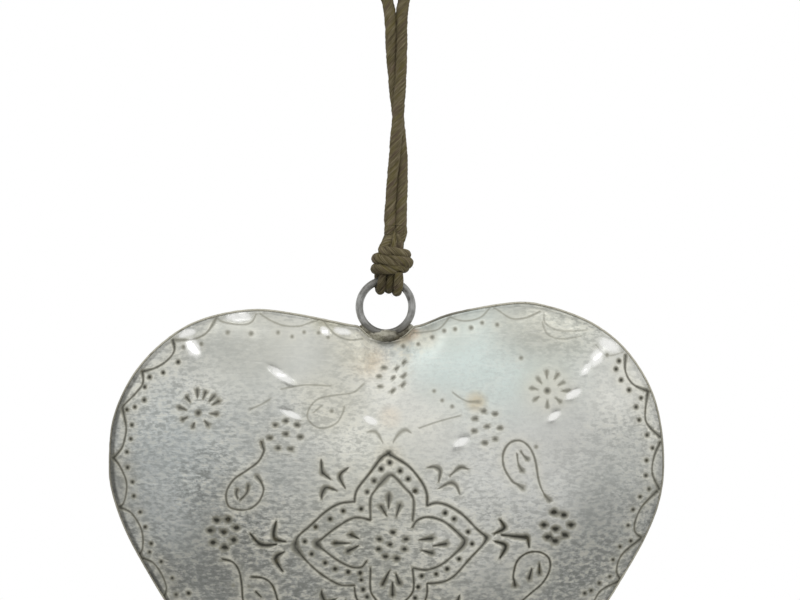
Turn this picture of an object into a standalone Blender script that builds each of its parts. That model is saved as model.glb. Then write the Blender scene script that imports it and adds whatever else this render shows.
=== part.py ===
# Iron heart ornament hung by a loop of jute twine.
# Metres, +Z up, front towards -Y. The origin is where a hook meets the inside of the loop's top.

import math

import bmesh
import bpy
from mathutils import Vector

GAP = 0.0003  # left between pieces that touch
SAME_POINT = 0.00001  # points closer than this are merged

# Heart: two dished iron sheets that meet at a flat lip
HEART_WIDTH = 0.190
HEART_HEIGHT = 0.180  # from the top of the higher lobe to the point
HEART_DEPTH = 0.032  # over both faces
CLEFT_DEPTH = 0.0133  # from the top of the higher lobe down to the cleft
SHEET_THICKNESS = 0.0007
LIP_WIDTH = 0.0012
DISH_CENTRE = 0.40  # share of the height at which the dish is deepest
DISH_RISE = 2.4  # how soon the dish leaves the rim
DISH_FULLNESS = 0.78  # below 1 the sides are steep and the middle is flat
DISH_STEPS = (0.965, 0.9, 0.8, 0.66, 0.5, 0.3)
SEAM_WIDTH = 0.0009

# Ring of steel wire, brazed in the cleft
RING_WIRE = 0.0026
RING_OUTER = 0.0202
BRAZE_WEB = 0.0013  # thickness of braze between the ring and the rim
BRAZE_SIZE = (0.0104, 0.0054, 0.0042)

# Twine
CORD_DIAMETER = 0.0031
TIGHT_CORD = 0.0027  # the same twine where it is pulled tight round the ring
TURN_GAP = 0.00050  # between two turns round the ring
WRAP_GAP = 0.00064  # between two wraps of the knot
RING_TURNS = 2.5
WRAP_TURNS = 2.5
WRAP_RADIUS = 0.0058  # centre line of the knot's outer wraps
WRAP_DIP = 0.0010  # how far the wraps hang lower at the front and back than at the sides
WRAP_LIFT = 0.0002  # the lowest wrap lies this much above the top of the ring turns' middle
WRAP_LEAD = 0.12  # share of a turn in which the left strand moves out to the wraps
KNOT_NECK = 0.0048  # from the first wrap up to where the loop's two strands begin
CORE_BITE = 0.0004  # how far the bundle inside the knot reaches into its wraps
CORE_ABOVE = 0.0006  # the bundle's top above the first wrap's centre line
CORE_BELOW = 0.0008  # the bundle's foot below the last wrap's centre line
CORE_SHOULDER = 0.0030  # height of the bundle's rounded top
TAIL_TURN = 0.17  # share of a turn in which the tail tucks in
FRONT_RISE = 0.0027  # straight end of the ring turns at the front
BACK_RISE = 0.0042  # straight end of the ring turns at the back

# The cord hangs a little to the right of the heart's middle
CORD_SHIFT = 0.0031
KNOT_SHIFT = 0.0019
TURNS_SHIFT = 0.0005

POINTS_PER_TURN = 24

# Outline of the heart after the cleft: share of the half width, share of the height from the top
RIGHT_SIDE = (
    (0.135, 0.041), (0.250, 0.019), (0.466, 0.000), (0.595, 0.0086), (0.739, 0.038),
    (0.854, 0.084), (0.941, 0.150), (0.984, 0.217), (1.000, 0.300), (0.987, 0.369),
    (0.941, 0.437), (0.862, 0.513), (0.768, 0.591), (0.636, 0.681), (0.501, 0.757),
    (0.350, 0.833), (0.192, 0.909), (0.072, 0.966),
)
LEFT_SIDE = (
    (-0.072, 0.966), (-0.192, 0.909), (-0.350, 0.833), (-0.501, 0.757), (-0.638, 0.681),
    (-0.768, 0.591), (-0.858, 0.515), (-0.941, 0.4335), (-0.991, 0.357), (-1.000, 0.300),
    (-0.987, 0.224), (-0.933, 0.154), (-0.851, 0.097), (-0.736, 0.049), (-0.613, 0.0238),
    (-0.469, 0.0133), (-0.3255, 0.0219), (-0.146, 0.041),
)
CLEFT_ANGLES = (-52, -28, 0, 28, 52)  # degrees round the ring's centre, from straight below it

# The loop above the knot, both strands at once, from the knot to the top:
# height, middle of the pair, half the distance between the strands, turn of the pair in degrees
LOOP_ROUTE = (
    (0.0000, 0.0000, 0.00179, 0), (0.0035, 0.0000, 0.00179, 0), (0.0079, 0.0002, 0.00180, 2),
    (0.0164, 0.0006, 0.00180, 20), (0.0233, 0.0009, 0.00180, 44), (0.0301, 0.0009, 0.00180, 66),
    (0.0369, 0.0009, 0.00180, 88), (0.0438, 0.0007, 0.00180, 110), (0.0506, 0.0006, 0.00180, 132),
    (0.0557, 0.0004, 0.00180, 150), (0.0609, 0.0003, 0.00181, 168), (0.0665, 0.0002, 0.00183, 180),
    (0.0725, 0.0001, 0.00205, 180), (0.0780, 0.0000, 0.00310, 180), (0.0840, 0.0000, 0.00520, 180),
    (0.0910, 0.0000, 0.00790, 180), (0.0990, 0.0000, 0.01040, 180), (0.1070, 0.0000, 0.01190, 180),
    (0.1150, 0.0000, 0.01200, 180), (0.1214, 0.0000, 0.01020, 180), (0.1258, 0.0000, 0.00600, 180),
)
LOOP_TOP = 0.1274
LOOP_STEP = 0.0052  # between the points of the loop's tube

# Worked out from the sizes above, in the frame of the swing axis:
# the middle of the ring's wire at its top, on the heart's middle line
RING_RADIUS = (RING_OUTER - RING_WIRE) / 2
CLEFT_RADIUS = RING_OUTER / 2 + BRAZE_WEB + SEAM_WIDTH / 2
CLEFT_Z = -RING_RADIUS - CLEFT_RADIUS
HEART_TOP_Z = CLEFT_Z + CLEFT_DEPTH
TURN_PITCH = TIGHT_CORD + TURN_GAP
WRAP_PITCH = CORD_DIAMETER + WRAP_GAP
WRAP_LOW_Z = RING_WIRE / 2 + GAP + TIGHT_CORD + WRAP_LIFT
WRAP_HIGH_Z = WRAP_LOW_Z + WRAP_TURNS * WRAP_PITCH
KNOT_TOP_Z = WRAP_HIGH_Z + KNOT_NECK
SWING_AXIS = Vector((-CORD_SHIFT, 0, CORD_DIAMETER / 2 - LOOP_TOP - KNOT_TOP_Z))
SPIN_AXIS = Vector((0, 0, SWING_AXIS.z + KNOT_TOP_Z))


def clear_scene():
    for obj in list(bpy.data.objects):
        bpy.data.objects.remove(obj, do_unlink=True)


def collection(name):
    made = bpy.data.collections.new(name)
    bpy.context.scene.collection.children.link(made)
    return made


def material(name, colour, roughness, metallic):
    made = bpy.data.materials.new(name)
    made.use_nodes = True
    shader = made.node_tree.nodes["Principled BSDF"]
    shader.inputs["Base Color"].default_value = (*colour, 1)
    shader.inputs["Roughness"].default_value = roughness
    shader.inputs["Metallic"].default_value = metallic
    made.diffuse_color = (*colour, 1)
    return made


def place(obj, group, finish=None, parent=None, location=(0, 0, 0)):
    for old in list(obj.users_collection):
        old.objects.unlink(obj)
    group.objects.link(obj)
    if finish:
        obj.data.materials.clear()
        obj.data.materials.append(finish)
    obj.parent = parent
    obj.location = location
    return obj


def hide_tool(obj):
    obj.hide_render = True
    obj.display_type = "WIRE"
    return obj


def smooth_line(points, closed, steps):
    # Catmull-Rom curve through the points
    count = len(points)
    line = []
    for i in range(count if closed else count - 1):
        if closed:
            a, b, c, d = (points[(i + k) % count] for k in (-1, 0, 1, 2))
        else:
            a, b, c, d = (points[min(max(i + k, 0), count - 1)] for k in (-1, 0, 1, 2))
        for step in range(steps):
            t = step / steps
            line.append(
                0.5 * (2 * b + (c - a) * t + (2 * a - 5 * b + 4 * c - d) * t * t
                       + (3 * b - a - 3 * c + d) * t ** 3)
            )
    if not closed:
        line.append(points[-1].copy())
    return line


def even_line(points, spacing):
    # the same line with points an equal distance apart
    lengths = [0.0]
    for a, b in zip(points, points[1:]):
        lengths.append(lengths[-1] + (b - a).length)
    count = max(2, round(lengths[-1] / spacing))
    line = []
    k = 0
    for i in range(count + 1):
        target = lengths[-1] * i / count
        while k < len(points) - 2 and lengths[k + 1] < target:
            k += 1
        share = (target - lengths[k]) / (lengths[k + 1] - lengths[k])
        line.append(points[k].lerp(points[k + 1], min(share, 1)))
    return line


def least_gap(points, diameter):
    # between stretches of one tube that are more than three diameters apart along it
    lengths = [0.0]
    for a, b in zip(points, points[1:]):
        lengths.append(lengths[-1] + (b - a).length)
    nearest = min(
        (points[j] - points[i]).length
        for i in range(len(points))
        for j in range(i + 1, len(points))
        if lengths[j] - lengths[i] > 3 * diameter
    )
    return nearest - diameter


def tube(name, points, diameter, closed=False):
    curve = bpy.data.curves.new(name, "CURVE")
    curve.dimensions = "3D"
    curve.bevel_depth = diameter / 2
    curve.bevel_resolution = 2
    curve.use_fill_caps = not closed
    spline = curve.splines.new("POLY")
    spline.points.add(len(points) - 1)
    for point, place_at in zip(spline.points, points):
        point.co = (*place_at, 1)
    spline.use_cyclic_u = closed
    obj = bpy.data.objects.new(name, curve)
    bpy.context.scene.collection.objects.link(obj)
    return obj


def as_mesh(obj):
    # a curve's solid as a mesh object, with its caps welded on
    bpy.context.view_layer.update()
    graph = bpy.context.evaluated_depsgraph_get()
    mesh = bpy.data.meshes.new_from_object(obj.evaluated_get(graph))
    mesh.transform(obj.matrix_world)
    name = obj.name
    bpy.data.objects.remove(obj, do_unlink=True)
    solid = bmesh.new()
    solid.from_mesh(mesh)
    bmesh.ops.remove_doubles(solid, verts=solid.verts, dist=SAME_POINT)
    bmesh.ops.recalc_face_normals(solid, faces=solid.faces)
    solid.to_mesh(mesh)
    solid.free()
    made = bpy.data.objects.new(name, mesh)
    bpy.context.scene.collection.objects.link(made)
    return made


def lathe(name, profile, steps):
    # profile of (radius, height), top to bottom
    mesh = bpy.data.meshes.new(name)
    rows = [(radius, 0, height) for radius, height in profile]
    mesh.from_pydata(rows, [(i, i + 1) for i in range(len(rows) - 1)], [])
    obj = bpy.data.objects.new(name, mesh)
    bpy.context.scene.collection.objects.link(obj)
    turn = obj.modifiers.new("Turn", "SCREW")
    turn.steps = steps
    turn.render_steps = steps
    turn.use_merge_vertices = True
    turn.merge_threshold = SAME_POINT
    return obj


def combine(obj, tool, operation):
    boolean = obj.modifiers.new(tool.name, "BOOLEAN")
    boolean.operation = operation
    boolean.solver = "EXACT"
    boolean.object = tool
    return boolean


def wire_drop(x):
    # how far the ring's wire lies below its top, x to the side
    return RING_RADIUS - math.sqrt(RING_RADIUS ** 2 - min(abs(x), RING_RADIUS) ** 2)


def turn_radius(x):
    # a turn this far from the ring's middle clears the wire at every point of the ring's swing
    cord = TIGHT_CORD / 2
    widest = 0.0
    for step in range(8):
        aside = cord * step / 8
        reach = abs(x) + aside
        slope = math.sqrt(1 - (reach / RING_RADIUS) ** 2)
        wire = wire_drop(reach) + RING_WIRE / 2 / slope
        widest = max(widest, wire + GAP + math.sqrt(cord ** 2 - aside ** 2))
    return widest


def heart_outline():
    # centre line of the rim's seam, clockwise from the left of the cleft
    points = []
    for degrees in CLEFT_ANGLES:
        angle = math.radians(degrees)
        points.append(Vector((
            CLEFT_RADIUS * math.sin(angle), 0, -RING_RADIUS - CLEFT_RADIUS * math.cos(angle)
        )))
    half_width = (HEART_WIDTH - SEAM_WIDTH) / 2
    height = HEART_HEIGHT - SEAM_WIDTH
    top = HEART_TOP_Z - SEAM_WIDTH / 2
    sides = RIGHT_SIDE + ((0.0, 1.0),) + LEFT_SIDE
    points += [Vector((across * half_width, 0, top - down * height)) for across, down in sides]
    return smooth_line(points, True, 2)


def inset(outline, distance):
    # the outline moved inwards along its normals
    count = len(outline)
    moved = []
    for i, point in enumerate(outline):
        along = (outline[(i + 1) % count] - outline[i - 1]).normalized()
        moved.append(point + distance * Vector((along.z, 0, -along.x)))
    return moved


def dish_height(share):
    depth = HEART_DEPTH / 2 - GAP / 2 - SHEET_THICKNESS
    return depth * (1 - share ** DISH_RISE) ** DISH_FULLNESS


def heart_shell(name, outline, side):
    # side is -1 for the front and 1 for the back
    edge = SEAM_WIDTH / 2 + GAP
    lip = inset(outline, edge + LIP_WIDTH)
    middle = Vector((0, 0, HEART_TOP_Z - DISH_CENTRE * HEART_HEIGHT))
    flat = Vector((0, side * GAP / 2, 0))
    rings = [[point + flat for point in inset(outline, edge)], [point + flat for point in lip]]
    for share in DISH_STEPS:
        raised = flat + Vector((0, side * dish_height(share), 0))
        rings.append([middle + (point - middle) * share + raised for point in lip])
    sheet = bmesh.new()
    rows = [[sheet.verts.new(point) for point in ring] for ring in rings]
    count = len(outline)
    for outer, inner in zip(rows, rows[1:]):
        for i in range(count):
            k = (i + 1) % count
            sheet.faces.new((outer[i], outer[k], inner[k], inner[i]))
    crown = sheet.verts.new(middle + flat + Vector((0, side * dish_height(0), 0)))
    for i in range(count):
        sheet.faces.new((rows[-1][i], rows[-1][(i + 1) % count], crown))
    bmesh.ops.recalc_face_normals(sheet, faces=sheet.faces)
    if crown.normal.y * side < 0:
        bmesh.ops.reverse_faces(sheet, faces=sheet.faces)
    mesh = bpy.data.meshes.new(name)
    sheet.to_mesh(mesh)
    sheet.free()
    mesh.shade_smooth()
    obj = bpy.data.objects.new(name, mesh)
    bpy.context.scene.collection.objects.link(obj)
    solidify = obj.modifiers.new("Sheet", "SOLIDIFY")
    solidify.thickness = SHEET_THICKNESS
    solidify.offset = 1
    solidify.use_even_offset = True
    return obj


def rim_seam(name, outline, extra=0.0):
    # braze over the edges of both lips: narrow in the heart's plane, as deep as the two lips
    depth = 2 * SHEET_THICKNESS + GAP
    bead = tube(name, outline, SEAM_WIDTH + 2 * extra, closed=True)
    bead.scale.y = (depth + 2 * extra) / (SEAM_WIDTH + 2 * extra)
    return bead


def ring(name, extra=0.0):
    bpy.ops.mesh.primitive_torus_add(
        major_radius=RING_RADIUS, minor_radius=RING_WIRE / 2 + extra,
        major_segments=48, minor_segments=12,
    )
    obj = bpy.context.object
    obj.name = name
    for vertex in obj.data.vertices:
        x, y, z = vertex.co
        vertex.co = (x, -z, y - RING_RADIUS)
    obj.data.shade_smooth()
    return obj


def ring_braze(name):
    # 26 segments, so that none of its edges lies on an edge of the seam or of the ring
    bpy.ops.mesh.primitive_uv_sphere_add(segments=26, ring_count=15, radius=0.5)
    obj = bpy.context.object
    obj.name = name
    bottom = -2 * RING_RADIUS - RING_WIRE / 2
    for vertex in obj.data.vertices:
        x, y, z = vertex.co
        vertex.co = (x * BRAZE_SIZE[0], y * BRAZE_SIZE[1], bottom + z * BRAZE_SIZE[2])
    obj.data.shade_smooth()
    return obj


def ring_turns_line():
    # the twine's turns round the wire, front leg first, about the swing axis
    count = round(RING_TURNS * POINTS_PER_TURN)
    line = []
    for i in range(count + 1):
        share = i / POINTS_PER_TURN
        angle = math.pi / 2 + math.tau * share
        x = TURNS_SHIFT + TURN_PITCH * (RING_TURNS / 2 - share)
        radius = turn_radius(x)
        line.append(Vector((x, -radius * math.sin(angle), radius * math.cos(angle))))
    front = line[0] + Vector((0, 0, FRONT_RISE))
    back = line[-1] + Vector((0, 0, BACK_RISE))
    return [front] + line + [back]


def wrap_line():
    # the left strand comes down, winds round the knot from its left side, and tucks in at the right
    start = Vector((CORD_SHIFT - LOOP_ROUTE[0][2], 0, KNOT_TOP_Z))
    leg = start - Vector((0, 0, CORD_DIAMETER))
    wraps = []
    count = round((WRAP_TURNS + TAIL_TURN - WRAP_LEAD) * POINTS_PER_TURN / 2)
    for i in range(count + 1):
        share = WRAP_LEAD + 2 * i / POINTS_PER_TURN
        angle = math.pi + math.tau * share
        tucked = max(0, share - WRAP_TURNS) / TAIL_TURN
        radius = WRAP_RADIUS * (1 - tucked / 2)
        z = WRAP_HIGH_Z - WRAP_PITCH * min(share, WRAP_TURNS) - WRAP_DIP * math.sin(angle) ** 2
        wraps.append(Vector((KNOT_SHIFT + radius * math.cos(angle), radius * math.sin(angle), z)))
    bend = leg.lerp(wraps[0], 0.45) + Vector((0, 0, CORD_DIAMETER / 8))
    return smooth_line([start, start.lerp(leg, 0.5), leg, bend] + wraps, False, 2)


def right_leg_line():
    # the right strand comes straight down and leans into the knot's middle
    strand = LOOP_ROUTE[0][2]
    start = Vector((CORD_SHIFT + strand, 0, KNOT_TOP_Z))
    leg = start - Vector((0, 0, CORD_DIAMETER))
    inside = Vector((KNOT_SHIFT + strand, 0, WRAP_HIGH_Z - CORD_DIAMETER))
    return [start] + smooth_line([leg, inside], False, 3)


def cord_tool(name, line, diameter, group, parent, location):
    # a stretch of twine as a mesh that joins or cuts another piece
    solid = hide_tool(as_mesh(tube(name, line, diameter)))
    return place(solid, group, None, parent, location)


def core_profile():
    # the strands inside the knot, as one bundle with a rounded top
    radius = WRAP_RADIUS - CORD_DIAMETER / 2 + CORE_BITE
    top = WRAP_HIGH_Z + CORE_ABOVE
    foot = WRAP_LOW_Z - CORE_BELOW
    profile = [(0, top)]
    for step in range(1, 5):
        angle = step * math.pi / 8
        profile.append((radius * math.sin(angle), top - CORE_SHOULDER * (1 - math.cos(angle))))
    return profile + [(radius, foot), (0, foot)]


def loop_line():
    up = []
    down = []
    for height, middle, half_gap, degrees in LOOP_ROUTE:
        turn = math.radians(degrees)
        reach = Vector((half_gap * math.cos(turn), half_gap * math.sin(turn), 0))
        centre = Vector((middle, 0, SPIN_AXIS.z + height))
        up.append(centre - reach)
        down.append(centre + reach)
    top = Vector((0, 0, SPIN_AXIS.z + LOOP_TOP))
    return smooth_line(up + [top] + down[::-1], False, 8)


def build():
    clear_scene()
    parts = collection("iron_heart_ornament")
    tools = collection("cutters")

    iron = material("silver_washed_iron", (0.56, 0.56, 0.53), 0.42, 0.75)
    brazing = material("dark_braze", (0.20, 0.20, 0.19), 0.50, 0.80)
    steel = material("worn_steel", (0.33, 0.33, 0.32), 0.38, 0.90)
    jute = material("jute_twine", (0.17, 0.14, 0.075), 0.90, 0.0)

    spin = bpy.data.objects.new("spin_axis", None)
    place(spin, parts, location=SPIN_AXIS)
    swing = bpy.data.objects.new("swing_axis", None)
    place(swing, parts, parent=spin, location=SWING_AXIS - SPIN_AXIS)
    knot_place = SWING_AXIS - SPIN_AXIS

    outline = heart_outline()
    place(heart_shell("front_shell", outline, -1), parts, iron, swing)
    place(heart_shell("back_shell", outline, 1), parts, iron, swing)
    place(rim_seam("rim_seam", outline), parts, brazing, swing)
    place(ring("hanging_ring"), parts, steel, swing)

    braze = place(ring_braze("ring_braze"), parts, brazing, swing)
    ring_room = place(hide_tool(ring("ring_room", GAP)), tools, parent=swing)
    seam_room = place(hide_tool(as_mesh(rim_seam("seam_room", outline, GAP))), tools, parent=swing)
    combine(braze, ring_room, "DIFFERENCE")
    combine(braze, seam_room, "DIFFERENCE")
    weld = braze.modifiers.new("Weld", "WELD")
    weld.merge_threshold = SAME_POINT

    turns = ring_turns_line()
    place(tube("ring_turns", turns, TIGHT_CORD), parts, jute, spin, knot_place)

    core_place = knot_place + Vector((KNOT_SHIFT, 0, 0))
    knot = place(lathe("cord_knot", core_profile(), 20), parts, jute, spin, core_place)
    wraps = wrap_line()
    wound = cord_tool("knot_wraps", wraps, CORD_DIAMETER, tools, spin, knot_place)
    right_leg = cord_tool("right_leg", right_leg_line(), CORD_DIAMETER, tools, spin, knot_place)
    lift = Vector((0, 0, GAP))
    room_line = [turns[0] + lift] + turns[1:-1] + [turns[-1] + lift]
    room = cord_tool("turns_room", room_line, TIGHT_CORD + 2 * GAP, tools, spin, knot_place)
    combine(knot, wound, "UNION")
    combine(knot, right_leg, "UNION")
    combine(knot, room, "DIFFERENCE").use_self = True

    loop = loop_line()
    loop[0] += lift
    loop[-1] += lift
    place(tube("hanging_loop", even_line(loop, LOOP_STEP), CORD_DIAMETER), parts, jute)

    for name, line, diameter in (
        ("hanging_loop", loop, CORD_DIAMETER),
        ("knot_wraps", wraps, CORD_DIAMETER),
        ("ring_turns", turns, TIGHT_CORD),
    ):
        print(f"{name}: least gap to itself {least_gap(line, diameter) * 1000:.2f} mm")


build()
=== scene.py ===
import math
import random

import bpy
import numpy as np
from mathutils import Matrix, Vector, noise
from mathutils.geometry import delaunay_2d_cdt
from mathutils.kdtree import KDTree


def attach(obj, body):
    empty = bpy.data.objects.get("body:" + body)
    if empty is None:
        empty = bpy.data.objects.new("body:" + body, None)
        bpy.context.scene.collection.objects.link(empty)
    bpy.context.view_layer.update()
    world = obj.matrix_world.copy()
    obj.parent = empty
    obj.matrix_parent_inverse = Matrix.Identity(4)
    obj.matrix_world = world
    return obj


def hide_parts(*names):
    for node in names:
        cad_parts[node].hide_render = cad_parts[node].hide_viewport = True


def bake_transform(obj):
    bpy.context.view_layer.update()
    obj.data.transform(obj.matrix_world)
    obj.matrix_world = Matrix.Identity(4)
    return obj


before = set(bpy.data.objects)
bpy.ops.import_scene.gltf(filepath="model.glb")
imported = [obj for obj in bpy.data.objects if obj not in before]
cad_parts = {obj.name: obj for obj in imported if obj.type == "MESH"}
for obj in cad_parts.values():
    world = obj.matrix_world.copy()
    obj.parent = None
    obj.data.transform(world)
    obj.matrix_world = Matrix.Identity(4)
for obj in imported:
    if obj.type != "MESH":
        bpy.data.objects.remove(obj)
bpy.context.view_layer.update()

# A puffed heart of silver-washed sheet iron that hangs from a steel ring by a loop of jute twine.
# Metres, +Z up, front towards -Y. The origin is where a hook meets the inside of the loop's top.

mm = 0.001
swingAxis = np.array((-0.0031, 0, -0.1445))
spinHeight = -0.12585
print("stage: frame loaded")


def addObject(name, data):
    made = bpy.data.objects.new(name, data)
    bpy.context.scene.collection.objects.link(made)
    return made


camera = {
    "place": (0.0015, -0.95, -0.1512),  # level with the middle of the picture, straight in front
    "frameWidth": 0.2736,  # what the picture's width takes in at the heart's middle plane
}


def makeCamera():
    data = bpy.data.cameras.new("view_from_front")
    data.sensor_width = 36
    data.lens = data.sensor_width * -camera["place"][1] / camera["frameWidth"]
    made = addObject("view_from_front", data)
    made.location = camera["place"]
    made.rotation_euler = (math.radians(90), 0, 0)
    bpy.context.scene.camera = made


makeCamera()


def smoothLine(points, closed, steps):
    # Catmull-Rom curve through the points
    points = np.asarray(points, float)
    before, after = (points[-1:], points[:2]) if closed else (points[:1], points[-1:])
    around = np.vstack([before, points, after])
    t = (np.arange(steps) / steps)[:, None]
    line = []
    for a, b, c, d in zip(around, around[1:], around[2:], around[3:]):
        bend, twist = 2 * a - 5 * b + 4 * c - d, 3 * b - a - 3 * c + d
        line.append(0.5 * (2 * b + (c - a) * t + bend * t ** 2 + twist * t ** 3))
    return np.concatenate(line if closed else line + [points[-1:]])


def evenLine(points, spacing, closed=False):
    # the same line with points an equal distance apart
    line = np.vstack([points, points[:1]]) if closed else np.asarray(points, float)
    lengths = np.concatenate([[0], np.cumsum(np.linalg.norm(np.diff(line, axis=0), axis=1))])
    count = max(2, round(lengths[-1] / spacing))
    wanted = np.linspace(0, lengths[-1], count + 1)[:count if closed else count + 1]
    return np.stack([np.interp(wanted, lengths, line[:, k]) for k in range(line.shape[1])], 1)


def lineLength(points):
    return float(np.linalg.norm(np.diff(points, axis=0), axis=1).sum())


def ease(values):
    values = np.clip(values, 0, 1)
    return values * values * (3 - 2 * values)


def unit(vectors):
    return vectors / np.linalg.norm(vectors, axis=1)[:, None]


def alongLoop(line):
    # the direction of a closed line at each of its points
    return unit(np.roll(line, -1, 0) - np.roll(line, 1, 0))


def tubeFaces(rows, around, start=0, closed=False, ends=True, flipped=False):
    # quads between rows of points that each go round once, and a flat face at each end of an open tube
    faces = []
    for i in range(rows if closed else rows - 1):
        a, b = start + i * around, start + (i + 1) % rows * around
        for k in range(around):
            n = (k + 1) % around
            faces.append((a + k, b + k, b + n, a + n) if flipped else (a + k, a + n, b + n, b + k))
    if ends and not closed:
        first, last = (tuple(range(a, a + around)) for a in (start, start + (rows - 1) * around))
        faces += [first, last[::-1]] if flipped else [first[::-1], last]
    return faces


def makePiece(name, vertices, faces, finish, attributes=None, smooth=True):
    mesh = bpy.data.meshes.new(name)
    mesh.from_pydata([tuple(v) for v in vertices], [], [tuple(f) for f in faces])
    for label, values in (attributes or {}).items():
        values = np.asarray(values, np.float32)
        kind, field = ("FLOAT", "value") if values.ndim == 1 else ("FLOAT_VECTOR", "vector")
        mesh.attributes.new(label, kind, "POINT").data.foreach_set(field, values.ravel())
    mesh.materials.append(finish)
    mesh.update()
    if smooth:
        mesh.shade_smooth()
    return addObject(name, mesh)


class Socket:
    # wraps an output socket, so that sums on it are written as expressions
    def __init__(self, tree, output):
        self.tree = tree
        self.output = output

    def of(self, name):
        # another output of the same node
        return Socket(self.tree, self.output.node.outputs[name])

    def maths(self, operation, first, second=0.0, clamp=False):
        return addNode(self.tree, "ShaderNodeMath", {"operation": operation, "use_clamp": clamp},
                       {0: first, 1: second})

    def __add__(self, other):
        return self.maths("ADD", self, other)

    def __radd__(self, other):
        return self.maths("ADD", other, self)

    def __sub__(self, other):
        return self.maths("SUBTRACT", self, other)

    def __rsub__(self, other):
        return self.maths("SUBTRACT", other, self)

    def __mul__(self, other):
        return self.maths("MULTIPLY", self, other)

    def __rmul__(self, other):
        return self.maths("MULTIPLY", other, self)

    def clamped(self):
        return self.maths("ADD", self, 0.0, True)

    def ramp(self, low, high):
        # 0 at low and 1 at high, eased
        return addNode(self.tree, "ShaderNodeMapRange", {"interpolation_type": "SMOOTHSTEP"},
                       {"Value": self, "From Min": low, "From Max": high}, "Result")


def feed(node, values):
    for label, value in values.items():
        if isinstance(value, Socket):
            value.tree.links.new(value.output, node.inputs[label])
        else:
            node.inputs[label].default_value = value


def addNode(tree, kind, settings=None, inputs=None, output=0):
    # the settings come first, because they decide which sockets a node has
    node = tree.nodes.new(kind)
    for label, value in (settings or {}).items():
        if label == "stops":
            elements = node.color_ramp.elements
            while len(elements) < len(value):
                elements.new(1)
            for element, (position, colour) in zip(elements, value):
                element.position = position
                element.color = colour
        else:
            setattr(node, label, value)
    feed(node, inputs or {})
    return Socket(tree, node.outputs[output])


def tone(red, green, blue):
    # a colour as it looks on a screen, 0 to 255, as the shader wants it
    def linear(value):
        value = value / 255
        return value / 12.92 if value <= 0.04045 else ((value + 0.055) / 1.055) ** 2.4
    return (linear(red), linear(green), linear(blue), 1)


def mixColours(mask, first, second):
    # sockets 6 and 7 are a Mix node's colours, and its third output is their mix
    return addNode(mask.tree, "ShaderNodeMix", {"data_type": "RGBA"}, {0: mask, 6: first, 7: second}, 2)


def layered(colour, *layers):
    # each mask lays its colour over what is there
    for mask, over in layers:
        colour = mixColours(mask, colour, over)
    return colour


def colourRamp(factor, *stops):
    return addNode(factor.tree, "ShaderNodeValToRGB", {"stops": stops}, {"Fac": factor}, "Color")


def noiseOn(vector, size, detail=2.0, roughness=0.5, stretch=None):
    # size is the noise's grain in metres; a stretch of more than 1 makes it finer along that axis
    if stretch:
        vector = vectorMaths("MULTIPLY", vector, stretch)
    return addNode(vector.tree, "ShaderNodeTexNoise", {}, {
        "Vector": vector, "Scale": 1 / size, "Detail": detail, "Roughness": roughness,
    }, "Fac")


def vectorMaths(operation, vector, other, output=0):
    return addNode(vector.tree, "ShaderNodeVectorMath", {"operation": operation},
                   {0: vector, 1: other}, output)


def distanceFrom(vector, point):
    return vectorMaths("DISTANCE", vector, point, "Value")


def axisOf(vector, axis):
    return addNode(vector.tree, "ShaderNodeSeparateXYZ", {}, {0: vector}, axis)


def attribute(tree, label, output="Fac"):
    return addNode(tree, "ShaderNodeAttribute", {"attribute_name": label}, {}, output)


def bumped(height, depth):
    return addNode(height.tree, "ShaderNodeBump", {},
                   {"Height": height, "Strength": 1.0, "Distance": depth}, "Normal")


def newFinish(name):
    made = bpy.data.materials.new(name)
    made.use_nodes = True
    tree = made.node_tree
    return made, tree, addNode(tree, "ShaderNodeTexCoord", {}, {}, "Object")


def finished(made, values):
    feed(made.node_tree.nodes["Principled BSDF"], values)
    return made


picture = {
    "scale": 0.342 * mm,  # one pixel at the heart's middle plane
    "zeroAcross": 395.5,  # the pixel column of x = 0
    "axisDown": 280.3,  # the pixel row of the swing axis
}


def onPlane(across, down):
    # where a pixel of the photograph lies on the heart's middle plane
    return ((across - picture["zeroAcross"]) * picture["scale"],
            swingAxis[2] - (down - picture["axisDown"]) * picture["scale"])


def rowHeight(down):
    return onPlane(0, down)[1]


def awayFrom(where, point, pixels, inner, outer):
    # 0 near a point and 1 away from it, between two shares of a radius in pixels
    reach = pixels * picture["scale"]
    return distanceFrom(where, point).ramp(inner * reach, outer * reach)


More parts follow.
